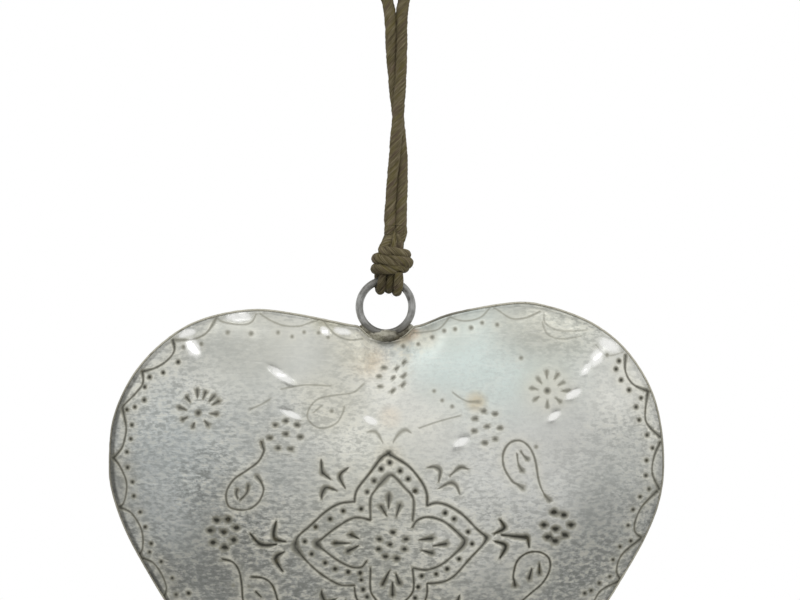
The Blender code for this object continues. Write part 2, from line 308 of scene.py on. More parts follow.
heart = {  # its form is the one in the part's source
    "width": 0.190,
    "height": 0.180,
    "depth": 0.032,
    "cleftDepth": 0.0133,
    "sheet": 0.0007,
    "overBead": 0.00030,  # the sheet's edge lies this far inside the middle of the braze bead
    "rolledEdge": 0.00035,  # flat width of the edge before the dish begins
    "dishCentre": 0.40,
    "dishRise": 2.4,
    "dishFullness": 0.78,
    "roundings": 240,  # how often the lip's reach is evened out for the inner dish
    "roundedTo": 0.25,  # the dish is rounded up to this share of the way to the lip
    "roundedFade": 0.7,  # the share over which that fades out
    "seam": 0.0009,
    "gap": 0.0003,
    "rightSide": (
        (0.135, 0.041), (0.250, 0.019), (0.466, 0.000), (0.595, 0.0086), (0.739, 0.038),
        (0.854, 0.084), (0.941, 0.150), (0.984, 0.217), (1.000, 0.300), (0.987, 0.369),
        (0.941, 0.437), (0.862, 0.513), (0.768, 0.591), (0.636, 0.681), (0.501, 0.757),
        (0.350, 0.833), (0.192, 0.909), (0.072, 0.966), (0.0, 1.0),
    ),
    "leftSide": (
        (-0.072, 0.966), (-0.192, 0.909), (-0.350, 0.833), (-0.501, 0.757), (-0.638, 0.681),
        (-0.768, 0.591), (-0.858, 0.515), (-0.941, 0.4335), (-0.991, 0.357), (-1.000, 0.300),
        (-0.987, 0.224), (-0.933, 0.154), (-0.851, 0.097), (-0.736, 0.049), (-0.613, 0.0238),
        (-0.469, 0.0133), (-0.3255, 0.0219), (-0.146, 0.041),
    ),
    "cleftAngles": (-52, -28, 0, 28, 52),
}
ring = {"wire": 0.0026, "outer": 0.0202, "brazeWeb": 0.0013, "braze": (0.0104, 0.0054, 0.0042)}
ringRadius = (ring["outer"] - ring["wire"]) / 2
cleftRadius = ring["outer"] / 2 + ring["brazeWeb"] + heart["seam"] / 2
heartTop = swingAxis[2] - ringRadius - cleftRadius + heart["cleftDepth"]
middle = np.array((swingAxis[0], heartTop - heart["dishCentre"] * heart["height"]))


def heartOutline():
    # centre line of the rim's seam in x and z, clockwise from the left of the cleft
    angles = np.radians(heart["cleftAngles"])
    cleft = np.stack([cleftRadius * np.sin(angles), -ringRadius - cleftRadius * np.cos(angles)], 1)
    halfWidth = (heart["width"] - heart["seam"]) / 2
    sides = np.array(heart["rightSide"] + heart["leftSide"])
    down = heartTop - heart["seam"] / 2 - sides[:, 1] * (heart["height"] - heart["seam"])
    sides = np.stack([swingAxis[0] + sides[:, 0] * halfWidth, down], 1)
    return smoothLine(np.vstack([cleft + swingAxis[[0, 2]], sides]), True, 12)


def inset(outline, distance):
    along = alongLoop(outline)
    return outline + distance * np.stack([along[:, 1], -along[:, 0]], 1)


outline = evenLine(heartOutline(), 0.95 * mm, closed=True)
edgeLine = inset(outline, heart["overBead"])
lipLine = inset(outline, heart["overBead"] + heart["rolledEdge"])
lipAngles = np.arctan2(*(lipLine - middle).T[::-1])
lipReach = np.linalg.norm(lipLine - middle, axis=1)
roundReach = lipReach.copy()
for _ in range(heart["roundings"]):  # the cleft and the point are rounded off for the inner dish
    roundReach = (np.roll(roundReach, 1) + 2 * roundReach + np.roll(roundReach, -1)) / 4


def dishShare(x, z):
    # 0 at the middle of the dish, 1 at the lip
    angle = np.arctan2(z - middle[1], x - middle[0])
    reach = np.hypot(x - middle[0], z - middle[1])
    share = reach / np.interp(angle, lipAngles, lipReach, period=math.tau)
    rounded = np.minimum(reach / np.interp(angle, lipAngles, roundReach, period=math.tau), 1)
    weight = ease((share - heart["roundedTo"]) / heart["roundedFade"])
    return share * weight + rounded * (1 - weight)


def dishHeight(x, z):
    # how far the sheet's outer side stands out from the heart's middle plane
    deepest = heart["depth"] / 2 - heart["gap"] / 2 - heart["sheet"]
    share = np.clip(dishShare(x, z), 0, 1)
    rise = deepest * (1 - share ** heart["dishRise"]) ** heart["dishFullness"]
    return heart["gap"] / 2 + heart["sheet"] + rise


def onDish(across, down):
    # the place on the front that the camera sees at a pixel of the photograph
    seenX, seenZ = onPlane(np.asarray(across, float), np.asarray(down, float))
    eyeX, eyeY, eyeZ = camera["place"]
    x, z = seenX, seenZ
    for _ in range(4):
        nearer = 1 - dishHeight(x, z) / -eyeY
        x = eyeX + (seenX - eyeX) * nearer
        z = eyeZ + (seenZ - eyeZ) * nearer
    return np.stack([x, z], -1)


# The punched and engraved pattern, in pixels of the photograph: across, down and, where it isn't a plain
# line, half the mark's width. Below the photograph's edge the marks repeat those above the quatrefoil's
# middle, upside down.

pattern = {
    "lineWidth": 1.05,
    "dotWidth": 2.5,
    # half width and share of the full depth and dirt of each kind of mark
    "lineKinds": {"quatrefoil": (1.281, 0.90), "paisleys": (1.05, 1.0), "faintLines": (0.8, 0.33)},
    "dotKinds": {"betweenDots": (2.7, 1.0), "faintDots": (1.95, 0.42)},
    "scallopLook": (0.945, 0.85),
    "cuspWidth": 1.9,  # where two scallops meet
    "paleWidth": 0.8,
    "paleStrength": (500, 0.36, 0.26),  # left and right of a pixel column
    "wornFrom": (395, 350),  # border dots right of and above this are worn
    "borderLook": ((2.2, 0.92), (1.95, 0.5)),  # plain, then worn
    "ovalHalf": 0.9,  # the flowers' dots are this much wider to each side
    "wornAbove": 395,  # the flower above this pixel row is worn, and its right half leans
    "leansFrom": 390,
    "flowerLook": ((2.25, 1.0), (1.8, 0.75)),  # plain, then worn
    "rosetteWidths": (2.875, 2.3, 1.1),  # middle, then the petals' outer and inner ends
    "rosetteOpen": 0.28,  # the petals end at this share of the way from the middle
    "petalWidths": (3.0, 0.8),
    "sprigWidths": (0.9, 2.3),  # ends and bend
    "wornSprig": (365, 395, 445, 0.6),  # between two pixel columns, above a row: its strength
    # marks whose middle lies here are more or less worn: pixel across, down, radius in pixels,
    # share of the depth of dirt, share of the width
    "wear": (
        (286, 434, 24, 0.86, 0.97), (224, 532, 22, 1.15, 1.52), (487, 426, 24, 0.70, 0.94),
        (557, 527, 22, 1.12, 1.50), (391, 376, 22, 0.84, 0.92), (392, 545, 20, 1.06, 1.14),
        (198, 413, 26, 0.82, 0.98), (547, 391, 24, 0.72, 0.92), (524, 466, 20, 0.70, 0.92),
        (247, 485, 20, 0.86, 0.90), (447, 476, 18, 0.76, 0.80), (331, 480, 20, 0.92, 0.98),
        (389, 435, 18, 0.62, 0.80), (262, 545, 28, 1.08, 1.14), (510, 538, 28, 1.08, 1.20),
        (650, 440, 84, 0.98, 1.0), (389, 500, 26, 0.92, 1.0), (192, 345, 12, 0.55, 1.0),
        (251, 333, 6, 0.50, 0.95), (199, 332, 10, 0.62, 0.95),
    ),
    "turnsOver": 544.5,  # the pixel row about which the quatrefoil repeats
    "scallops": (
        ((172.7, 340), (174, 351), (166.3, 361), (154.8, 368), (142, 371.4)),
        ((142, 371.4), (142.7, 383), (135.7, 393), (124.2, 404.6), (122.3, 408.4)),
        ((122.3, 408.4), (126, 427.6), (124.2, 440.3), (121, 449), (113, 458)),
        ((113, 458), (119, 465), (126, 480.6), (126, 493.4), (123, 503.6), (119, 507)),
        ((119, 507), (130.6, 512.5), (139.5, 525.3), (142.7, 536.7), (142, 549.5), (137, 557)),
        ((139, 557), (152.3, 562.2), (161.2, 573.7), (166.3, 587.8), (163, 599)),
        ((172.7, 340), (191.8, 339.5), (203.3, 335), (209.7, 328.7), (216, 318)),
        ((625.5, 355.5), (625.4, 371.4), (633, 384.2), (648, 391)),
        ((648, 391), (645.2, 411), (647, 423.7), (660, 437)),
        ((660, 442.4), (654, 456.6), (652.2, 473.2), (659, 488.5)),
        ((657, 491), (642, 506.3), (635, 521.6), (635, 531.8), (641, 537)),
        ((640, 539), (621.6, 554.8), (616.5, 570), (620, 579)),
        ((619, 581), (602.4, 589.2), (594.8, 599.4), (593, 610), (598, 617)),
    ),
    "paleScallops": (
        ((218, 318), (221, 321), (232.7, 323.6), (245.4, 324.2), (252.4, 321), (256, 314)),
        ((260, 313.5), (270, 320), (283.7, 325.5), (299, 326), (307.4, 323.4), (322, 319)),
        ((322, 319), (334.2, 333.5), (347.6, 339.5), (362.3, 338.8)),
        ((413, 332.5), (422.6, 332), (438.6, 328.8), (449.4, 317)),
        ((449.4, 317), (464, 320.8), (480, 317.4), (489.5, 308)),
        ((494, 308), (497.9, 310), (511.9, 318.5), (527.2, 317.2), (540, 311)),
        ((543.8, 314), (545, 323), (556.5, 330), (569.3, 331.2), (585.9, 330)),
        ((542, 322), (547.6, 334.4), (561.6, 338.9), (579.5, 336.4)),
        ((596, 345), (607, 355.5), (623.5, 352)),
    ),
    "borderDots": (
        (131.6, 425), (130.6, 439), (126.7, 452), (127.3, 467.5), (132.2, 482), (133.6, 496),
        (140, 512), (145, 527), (151, 543.5), (149.4, 552), (161, 561.5), (172, 578), (176, 594.5),
        (134.6, 407), (144, 400), (126.7, 409.6), (144.5, 387), (149.4, 377), (163, 372.6),
        (178, 362), (183.4, 347), (201, 344), (251, 333.5), (616, 369), (619, 361), (621, 380),
        (629, 390), (641, 398), (636, 407), (639, 420), (647, 435), (652.4, 448), (646.5, 460.4),
        (645.8, 475.5), (649, 489), (640, 496.8), (633, 509.5), (628, 525.2), (630.8, 540.8),
        (620, 546.5), (613, 559.6), (609.8, 576.5), (599.3, 583), (591, 590.5), (403, 346),
        (418, 344), (432, 337), (444, 330.5), (455, 329), (471, 327.6), (482, 322.6), (497, 324.6),
    ),
    "faintDots": (
        (227.5, 332.5), (278, 332.5), (292, 336.5), (304, 332), (318.5, 332.5), (328, 337),
        (607, 355), (331.5, 411), (434, 391), (442, 400.4), (452, 406.5), (248.6, 586.5),
        (233.3, 585.2), (521, 358), (536, 447),
    ),
    "flowers": (
        (286, 434), (286, 421), (297, 425), (300, 437), (291, 449), (278, 448), (270, 438),
        (275, 425), (223.7, 532.3), (216.7, 520.2), (227.9, 519.3), (236.2, 527.8),
        (233.5, 539.9), (224.4, 547.2), (212.9, 542.5), (209.9, 530.4), (487.4, 426.4),
        (484, 411), (495, 414), (500, 428), (495, 439), (485, 443), (474, 431), (475.5, 418.5),
        (555.6, 529), (554, 512), (564, 515), (571, 525), (565, 535), (555, 541), (547.5, 537),
        (544, 525), (383.7, 367.6), (396.5, 368.3), (403.8, 362.3), (379, 376.3),
        (393.1, 377.7), (403.8, 375.7), (379.7, 386.4), (402.5, 385), (392.4, 391),
        (390.2, 544.5), (393.1, 532.4), (379.1, 539.1), (405.8, 539.1), (378.4, 549.1),
        (404.5, 549.1), (385.4, 556.5), (396.5, 558.5),
    ),
    "rosettes": (  # strength, the middle, then the outer ends of its petals
        (1.0, (198, 413), (186.4, 397), (197, 390), (205.4, 392), (214, 396), (218.6, 401),
         (216.6, 414), (208, 425), (192.5, 427), (182, 419.5), (179, 407.6)),
        (0.7, (547.2, 390.8), (538, 379), (546.6, 371.4), (557.8, 374), (563.5, 382.3),
         (569.3, 390.8), (560.4, 402), (547.2, 407.1), (534.8, 399.5), (531, 388)),
    ),
    "betweenDots": (
        (304.6, 541.5), (315.5, 527), (330, 519), (343, 511), (361, 509), (367, 492), (374, 481),
        (381, 469), (389.6, 462.6), (400, 471), (408, 479), (415, 491), (445, 513), (454, 519),
        (468, 532), (472, 544), (459, 559), (447, 569), (436, 574), (421.5, 576), (418, 587),
        (311.5, 554), (325, 563), (335, 569), (348, 572), (360, 573), (363, 589.5),
    ),
    "quatrefoil": (  # its outer lines, then the inner ones
        ((389, 453, 2.7), (381, 458, 2.1), (370.4, 472.1), (357, 489.5), (354.3, 501.6)),
        ((354.3, 501.6), (339.5, 503.6), (326.2, 511), (310, 525.7), (298, 536.4),
         (294.9, 545, 4.0)),
        ((294.9, 547, 4.0), (306, 560.5), (320.8, 573.9), (339.5, 584.6), (354.3, 585.3)),
        ((387.8, 453.2, 2.6), (395, 457.5, 1.7), (409.2, 466.8), (421.2, 481.5),
         (426.6, 493.6), (426.9, 505.6)),
        ((426.9, 505.6), (436, 502.9), (448, 505.6), (462.8, 515), (477.5, 529.7),
         (487, 537, 2.3)),
        ((487, 537.5, 3.2), (482.9, 544.5), (468, 560.5), (454.7, 575.3), (442.7, 582),
         (427.9, 583.3)),
        ((370.4, 520), (370.4, 499), (376, 489, 1.1), (382.4, 481.5, 2.7), (391.4, 475, 1.9),
         (403.8, 486.9), (413.2, 499), (412.5, 520.4)),
        ((370.4, 520), (354.3, 517.7), (336.9, 527), (322, 538.6, 1.3), (316.2, 543.6, 3.9),
         (323.5, 549.8), (336.9, 559.9), (350.3, 566.6), (361, 567.2), (366.3, 561.2)),
        ((412.5, 527), (417.2, 520.4), (428, 517), (444, 521.7), (461, 536, 1.8), (464.3, 543, 3.4),
         (454.7, 553.8), (441.3, 564.5), (426.6, 569.9), (413.2, 567.9)),
    ),
    "paisleys": (
        ((261.2, 441.6, 2.2), (262.6, 446.5, 2.3), (263.6, 451.5, 1.2), (258.2, 461.5), (246.7, 470.4),
         (233.9, 479.3), (226.3, 492), (227.6, 504.8), (235.2, 509.3), (248, 509.3),
         (258.2, 502.3), (263.3, 490.8), (261.2, 482.6, 1.4), (257, 476.6, 2.6)),
        ((237, 489.5, 2.5), (236, 494, 1.6), (237.5, 498.2)),
        ((248, 485.7, 2.6), (246.7, 492.6, 1.5), (240.3, 499.7)),
        ((522.6, 487.8, 2.8), (517.5, 484.5, 1.2), (511.9, 480.8), (504.2, 468), (503, 454), (509.3, 443.2),
         (519.5, 440.6), (528.5, 446.4), (534.8, 459), (538.7, 480.8), (543.8, 493.6, 0.9),
         (549.6, 500.4, 3.0)),
        ((517, 454), (518.3, 464, 0.9), (522, 470.6, 2.7)),
        ((520.8, 451.5), (523.5, 455.5, 0.9), (527.2, 459, 2.2)),
        ((515, 585.4, 2.9), (514.2, 581, 1.4), (513.2, 575.2), (517, 561.2), (527.2, 552.9), (540, 552.2),
         (548.9, 558.6), (549.5, 570), (542.5, 582.9), (531, 593), (521, 602), (513, 613),
         (510, 624, 1.5)),
        ((531.7, 568.8), (529, 578.4, 2.6)),
        ((539.3, 565), (539.3, 572.7, 2.4)),
        ((222.4, 559, 1.5), (232.7, 562.2), (239, 571.2), (241.6, 585.2), (242.9, 600),
         (248, 610), (258, 616), (269, 614), (277, 606), (277.3, 600), (272.2, 585.2),
         (263.3, 578.2), (251.8, 576.9, 1.5)),
        ((255.6, 591.6, 1.4), (260.7, 596.7)),
    ),
    "faintLines": (
        ((363, 384.4, 1.1), (353, 392.4), (336.9, 395), (319.5, 398.4), (310, 407),
         (307.4, 417.9), (315.4, 426.6), (326.2, 427.9), (336.9, 422.5), (342.2, 413.8),
         (344.2, 407, 1.4)),
        ((321.5, 405.8), (313.4, 412.5)),
        ((452.7, 392.4), (460, 397.8), (468, 401.5), (477.5, 402, 1.6)),
        ((419, 428), (440, 421), (459, 416)),
        ((281, 389), (305, 385), (330, 386)),
        ((251, 409), (262, 404), (270, 399)),
    ),
    "petals": (  # thick end, thin end
        ((334.2, 543.1), (348.9, 543.1)), ((350.3, 534.4), (358.3, 538.4)),
        ((347.6, 551.2), (358.3, 545.8)), ((432, 538.4), (419.2, 539.8)),
        ((446, 543.8), (433.3, 545.8)), ((432, 553.2), (422.6, 550.5)),
        ((388.8, 495.6), (388.4, 508.3)), ((381, 506.3), (386.4, 515.7)),
        ((399.8, 505), (396.5, 515)), ((382.4, 584.6), (389.1, 571.2)),
        ((392.4, 595.3), (392.4, 582)), ((399.1, 583.3), (395.8, 573.9)),
    ),
    "sprigs": (  # thin end, thick bend, thin end
        ((250.5, 534.2), (260.7, 544.4), (276, 544.4)),
        ((276, 521.4), (273.5, 532.9), (275.4, 539.3), (285.6, 541.6)),
        ((283.7, 552), (275.4, 558.4), (282.4, 571.2)),
        ((495.3, 533), (504.2, 528), (500.4, 520.4)),
        ((501.7, 535), (522, 537), (527.2, 537.6), (529, 547)),
        ((495.3, 541.4), (505.5, 545.9), (499.8, 558)),
        ((321, 460), (322, 472), (324, 474), (330, 479)),
        ((347.6, 468), (339.5, 476), (344.9, 488)),
        ((321.5, 498), (322, 493.6), (326, 487.5), (335.5, 490)),
        ((428, 467.5), (434.6, 466.8), (440, 470.8), (438.6, 481.5)),
        ((450.7, 474.8), (460, 467.4), (466.8, 468.8)),
        ((439.3, 488.2), (449.4, 482.9), (456, 485.5), (459.4, 493.6)),
        ((367.7, 431.9), (375.7, 431.9), (382.4, 442)),
        ((393.1, 442), (398.5, 433.9), (405.2, 429.9), (410.5, 432.6)),
    ),
    "guessedFlower": (388, 700),  # eight dots below the quatrefoil, as the others
    "guessedFlowerSize": 13,
    "guessedFlowerDots": 8,
    "guessedCusps": (604, 640, 682, 724, 766),  # pixel rows where the rim's scallops meet
    "guessedInward": (0.75, 0.66),  # the way from the rim inwards there
    "guessedDeep": 15,  # pixels from a cusp's line to the scallop's middle
    # share of the way from one cusp to the next, share of that depth
    "guessedScallop": ((0, 0.15), (0.2, 0.8), (0.5, 1.05), (0.8, 0.8), (1, 0.15)),
    "guessedDots": ((0.1, 1.46), (0.5, 1.7), (0.9, 1.46)),
}


def turnedOver(points):
    return [(p[0], 2 * pattern["turnsOver"] - p[1], *p[2:]) for p in points]


def lineMark(points, width=pattern["lineWidth"], strength=1.0):
    return [(*p[:2], p[2] if len(p) > 2 else width) for p in points], strength


def dotMark(point, width=pattern["dotWidth"], strength=1.0):
    return [(*point, width)], strength


def sprigMark(points, strength=1.0):
    ends, bend = pattern["sprigWidths"]
    return [(*p, bend if 0 < i < len(points) - 1 else ends) for i, p in enumerate(points)], strength


def seenMarks():
    cusp, (width, strength) = pattern["cuspWidth"], pattern["scallopLook"]
    marks = [lineMark([(*points[0], cusp), *points[1:-1], (*points[-1], cusp)], width, strength)
             for points in pattern["scallops"]]
    column, left, right = pattern["paleStrength"]
    for points in pattern["paleScallops"]:
        marks.append(lineMark(points, pattern["paleWidth"], left if points[0][0] < column else right))
    for kind, look in pattern["lineKinds"].items():
        marks += [lineMark(points, *look) for points in pattern[kind]]
    for point in pattern["borderDots"]:
        worn = point[0] > pattern["wornFrom"][0] and point[1] < pattern["wornFrom"][1]
        marks.append(dotMark(point, *pattern["borderLook"][worn]))
    for kind, look in pattern["dotKinds"].items():
        marks += [dotMark(point, *look) for point in pattern[kind]]
    half = pattern["ovalHalf"]
    for across, down in pattern["flowers"]:
        worn = down < pattern["wornAbove"]
        lean = half if worn and across > pattern["leansFrom"] else 0.0
        marks.append(lineMark([(across - half, down + lean), (across + half, down - lean)],
                              *pattern["flowerLook"][worn]))
    middleWidth, *petalWidths = pattern["rosetteWidths"]
    for strength, centre, *ends in pattern["rosettes"]:
        marks.append(dotMark(centre, middleWidth))
        for end in ends:
            inner = [e + (c - e) * pattern["rosetteOpen"] for e, c in zip(end, centre)]
            marks.append(([(*end, petalWidths[0]), (*inner, petalWidths[1])], strength))
    for petal in pattern["petals"]:
        marks.append(([(*p, width) for p, width in zip(petal, pattern["petalWidths"])], 1.0))
    first, last, row, strength = pattern["wornSprig"]
    for points in pattern["sprigs"]:
        worn = first < points[0][0] < last and points[0][1] < row
        marks.append(sprigMark(points, strength if worn else 1.0))
    return marks


def wornMark(points, strength):
    across, down = (sum(p[k] for p in points) / len(points) for k in (0, 1))
    for x, y, radius, depth, width in pattern["wear"]:
        if math.hypot(across - x, down - y) < radius:
            return [(*p[:2], p[2] * width) for p in points], strength * depth
    return points, strength


def guessedMarks():
    # below the photograph's edge
    marks = [lineMark(turnedOver(pattern["quatrefoil"][k])) for k in (0, 3, 6)]
    marks += [sprigMark(turnedOver(points)) for points in pattern["sprigs"][6:]]
    marks += [dotMark(point) for point in turnedOver(pattern["betweenDots"][4:12])]
    across, down = pattern["guessedFlower"]
    marks.append(dotMark((across, down)))
    for k in range(pattern["guessedFlowerDots"]):
        angle = math.tau * k / pattern["guessedFlowerDots"]
        marks.append(dotMark((across + pattern["guessedFlowerSize"] * math.cos(angle),
                              down + pattern["guessedFlowerSize"] * math.sin(angle))))
    axis = picture["zeroAcross"] + swingAxis[0] / picture["scale"]
    for side in (-1, 1):
        wall = edgeLine[((edgeLine[:, 0] - swingAxis[0]) * side > 0) & (edgeLine[:, 1] < middle[1])]
        wall = wall[np.argsort(wall[:, 1])]
        rim = []
        for row in pattern["guessedCusps"]:
            reach = np.interp(rowHeight(row), wall[:, 1], (wall[:, 0] - swingAxis[0]) * side)
            rim.append(np.array((axis + side * reach / picture["scale"], row)))
        inward = -np.array((side, 1)) * pattern["guessedInward"] * pattern["guessedDeep"]
        for upper, lower in zip(rim, rim[1:]):
            curve, dots = ([tuple(upper * (1 - t) + lower * t + inward * depth) for t, depth in pattern[kind]]
                           for kind in ("guessedScallop", "guessedDots"))
            marks += [lineMark(curve)] + [dotMark(point) for point in dots]
    return marks


relief = {
    "sampled": 0.30 * mm,  # distance between the places along a mark
    "unsteady": (0.7, 1.3),  # range of a line's width, as a share
    "lineDepth": 0.10 * mm,  # of a line of no width, and what each pixel of half width adds
    "depthPerWidth": 0.13 * mm,
    "floor": (0.85, 0.05 * mm),  # half width of its bottom: share of the line's, and what is added
    "lineDark": 0.62,  # the same for its dirt
    "darkPerWidth": 0.32,
    "reach": 3.0 * mm,  # a mark has no effect further away
    "burr": 0.20,  # the raised edge beside a mark, as a share of its depth
    "burrPlace": (1.9, 0.8),  # distance and breadth of that edge, in half widths
    "dirtMore": 0.04 * mm,  # the dirt is this much wider than the mark to each side
    "halo": 1.9 * mm,  # how far round a mark the wash is rubbed
    "calmLip": 0.06,  # share of the dish that stays flat at the lip
    "rimBand": 0.028,
    "swell": 0.16 * mm,  # slow waves of the beaten sheet
    "swellSize": 15 * mm,
    "hammer": 0.045 * mm,  # small hammer marks
    "hammerSize": 5.0 * mm,
}


def markSamples():
    # places along every mark: x, z, half width, depth, darkness, direction x, direction z
    rows = []
    luck = random.Random(5)
    for points, strength in [wornMark(*mark) for mark in seenMarks()] + guessedMarks():
        points = np.array(points)
        if len(points) > 1:
            points = smoothLine(points, False, 8)
        path = np.column_stack([onDish(*points.T[:2]), points[:, 2] * picture["scale"]])
        along = np.zeros((1, 2))
        if len(points) > 1:
            path = evenLine(path, relief["sampled"])
            along = unit(np.gradient(path[:, :2], axis=0))
        wobble = 1.0
        for (x, z, half), way in zip(path, along):
            wobble = 0.7 * wobble + 0.3 * luck.uniform(*relief["unsteady"])
            width = half * wobble
            pixels = width / picture["scale"]
            rows.append((x, z, width, strength * (relief["lineDepth"] + relief["depthPerWidth"] * pixels),
                         strength * min(1.0, relief["lineDark"] + relief["darkPerWidth"] * pixels), *way))
    return np.array(rows)


samples = markSamples()
print("stage: pattern laid out,", len(samples), "places along its marks")

lamps = {  # place, width and power of each soft lamp
    "left": ((-0.257, -0.50, 0.57), 0.13, 0.36),
    "right": ((0.30, -0.48, 0.55), 0.13, 0.34),
}
facets = {  # flat spots of the beaten sheet that catch a lamp: pixel across, down, long, wide, turn
    "places": (
        (281, 375, 32, 9, 34), (291, 414, 24, 7, 22), (370, 420, 15, 8, 25), (193, 348, 24, 15, 62),
        (609, 345, 26, 13, 28), (597, 357, 22, 13, -58), (573, 394, 19, 9, -27), (554, 416, 16, 8, -35),
        (461, 442, 18, 9, -31), (239, 317, 28, 11, -4), (187, 333, 20, 9, -17), (342, 331, 20, 8, 12),
        (586, 369, 16, 8, -50), (325, 331, 14, 8, 39),
    ),
    "mostHeight": 0.7 * mm,
    "mostSlope": 0.28,
    "spacing": 0.42 * mm,  # of the mesh's points in them
    "edge": 1.9,  # how suddenly they end
    "slopeStep": 0.5 * mm,  # over which the dish's slope is taken
    "gridReach": 1.3,  # share of a spot's size with the finer spacing
}
creases = (  # shallow folds of the sheet: pixel across, down, long, wide, turn, depth
    (412, 385, 90, 7, 87, 0.07), (424, 380, 80, 6, 92, 0.05), (240, 455, 40, 9, 40, 0.10),
    (330, 470, 50, 12, 20, 0.10), (560, 470, 56, 12, -40, 0.12), (180, 500, 56, 12, 50, 0.12),
    (505, 560, 60, 12, -60, 0.10), (620, 450, 50, 10, 80, 0.10),
)


def noiseAt(x, z, size, seed):
    return np.array([noise.noise(Vector((a / size, 0, b / size + seed))) for a, b in zip(x, z)])


def turned(x, z, place, long, wide, turn):
    # distances from a place, along and across a long spot in shares of its half size, and plain
    angle = math.radians(-turn)
    dx, dz = x - place[0], z - place[1]
    u = (dx * math.cos(angle) + dz * math.sin(angle)) / (long / 2 * picture["scale"])
    v = (dz * math.cos(angle) - dx * math.sin(angle)) / (wide / 2 * picture["scale"])
    return u, v, dx, dz


def facetSlope(place):
    # the slope the sheet has to have here to mirror the nearer lamp to the front
    step = facets["slopeStep"]
    x, z = place
    slope = np.array((dishHeight(x + step, z) - dishHeight(x - step, z),
                      dishHeight(x, z + step) - dishHeight(x, z - step))) / (2 * step)
    spot = Vector((x, -dishHeight(x, z), z))
    changes = []
    for lamp, _, _ in lamps.values():
        halfway = (Vector(camera["place"]) - spot).normalized() + (Vector(lamp) - spot).normalized()
        changes.append(np.array((halfway.x, halfway.z)) / halfway.y - slope)
    change = min(changes, key=np.linalg.norm)
    return slope + change * min(1.0, facets["mostSlope"] / np.linalg.norm(change))


def treeOf(points):
    tree = KDTree(len(points))
    for k, (x, z) in enumerate(points):
        tree.insert((x, z, 0), k)
    tree.balance()
    return tree


def faceRelief(x, z, seed):
    # height above the plain dish, and how much each place is cut, near a mark, in a facet, near the rim
    tree = treeOf(samples[:, :2])
    height, cut, halo, glint = np.zeros((4, len(x)))
    (floorShare, floorMore), (burrAway, burrWide) = relief["floor"], relief["burrPlace"]
    for i, place in enumerate(zip(x, z)):
        deepest = raised = 0.0
        for _, k, away in tree.find_n((*place, 0), 5):
            _, _, width, depth, dark, _, _ = samples[k]
            if away > 4 * width + relief["reach"]:
                continue
            beside = (away - burrAway * width) / (burrWide * width)
            deepest = max(deepest, depth * math.exp(-(away / (floorShare * width + floorMore)) ** 2))
            raised = max(raised, relief["burr"] * depth * math.exp(-beside ** 2))
            cut[i] = max(cut[i], dark * math.exp(-(away / (width + relief["dirtMore"])) ** 3))
            halo[i] = max(halo[i], dark * math.exp(-(away / relief["halo"]) ** 2))
        height[i] = raised * (1 - cut[i]) - deepest
    share = np.clip(dishShare(x, z), 0, 1)
    waves = relief["swell"] * noiseAt(x, z, relief["swellSize"], seed)
    waves += relief["hammer"] * noiseAt(x, z, relief["hammerSize"], seed + 7)
    plain = dishHeight(x, z)
    for across, down, *shape in facets["places"]:
        place = onDish(across, down)
        u, v, dx, dz = turned(x, z, place, *shape)
        slope = facetSlope(place)
        inside = np.exp(-(u * u + v * v) ** facets["edge"])
        glint = np.maximum(glint, inside)
        lift = (dishHeight(*place) + slope[0] * dx + slope[1] * dz - plain) * inside
        waves += facets["mostHeight"] * np.tanh(lift / facets["mostHeight"])
    for across, down, *shape, depth in creases:
        u, v, _, _ = turned(x, z, onDish(across, down), *shape)
        waves -= depth * mm * np.exp(-u * u - v * v)
    height += ease((1 - share) / relief["calmLip"]) * waves
    # the band along the rim where the wash takes its painted shade
    rimBand = ease((share - 1 + relief["rimBand"]) / relief["rimBand"])
    return height, {"cut": cut, "halo": halo, "glint": glint, "rimBand": rimBand}


faceGrid = {
    "spacing": 1.15 * mm,
    "rimShares": (0.995, 0.985, 0.968, 0.948, 0.925),
    "rimRoom": 0.012,  # between the last of them and the even grid
    "inside": 0.999,  # the last share of the dish that takes points
    "rows": (0.0, -0.21, 0.21, -0.40, 0.40, -0.72, 0.72),  # beside a thin line, in millimetres
    "outerRow": 0.5,  # rows beyond this keep their distance from the mark's edge
    "thinLine": 0.22 * mm,
    "dotRings": ((0.45, 6), (0.95, 9), (1.7, 12)),  # share of a dot's half width, points
    "closest": 0.15 * mm,
    "gridRoom": 0.62,  # share of the spacing that the even grid keeps from a mark's points
    # the inner side's rings, as shares of the way to the lip
    "insideRings": (1.0, 0.975, 0.94, 0.88, 0.78, 0.62, 0.42, 0.22),
    "insideRoom": 0.25,  # the inner side lies this share of the sheet further in, clear of the marks
    "sharp": 75,  # degrees
    # share of the bake map that each side fills, and its margin
    "outsideMap": (0.985, 0.006),
    "insideMap": (0.2, 0.004),
    "insideMirror": 0.21,
}


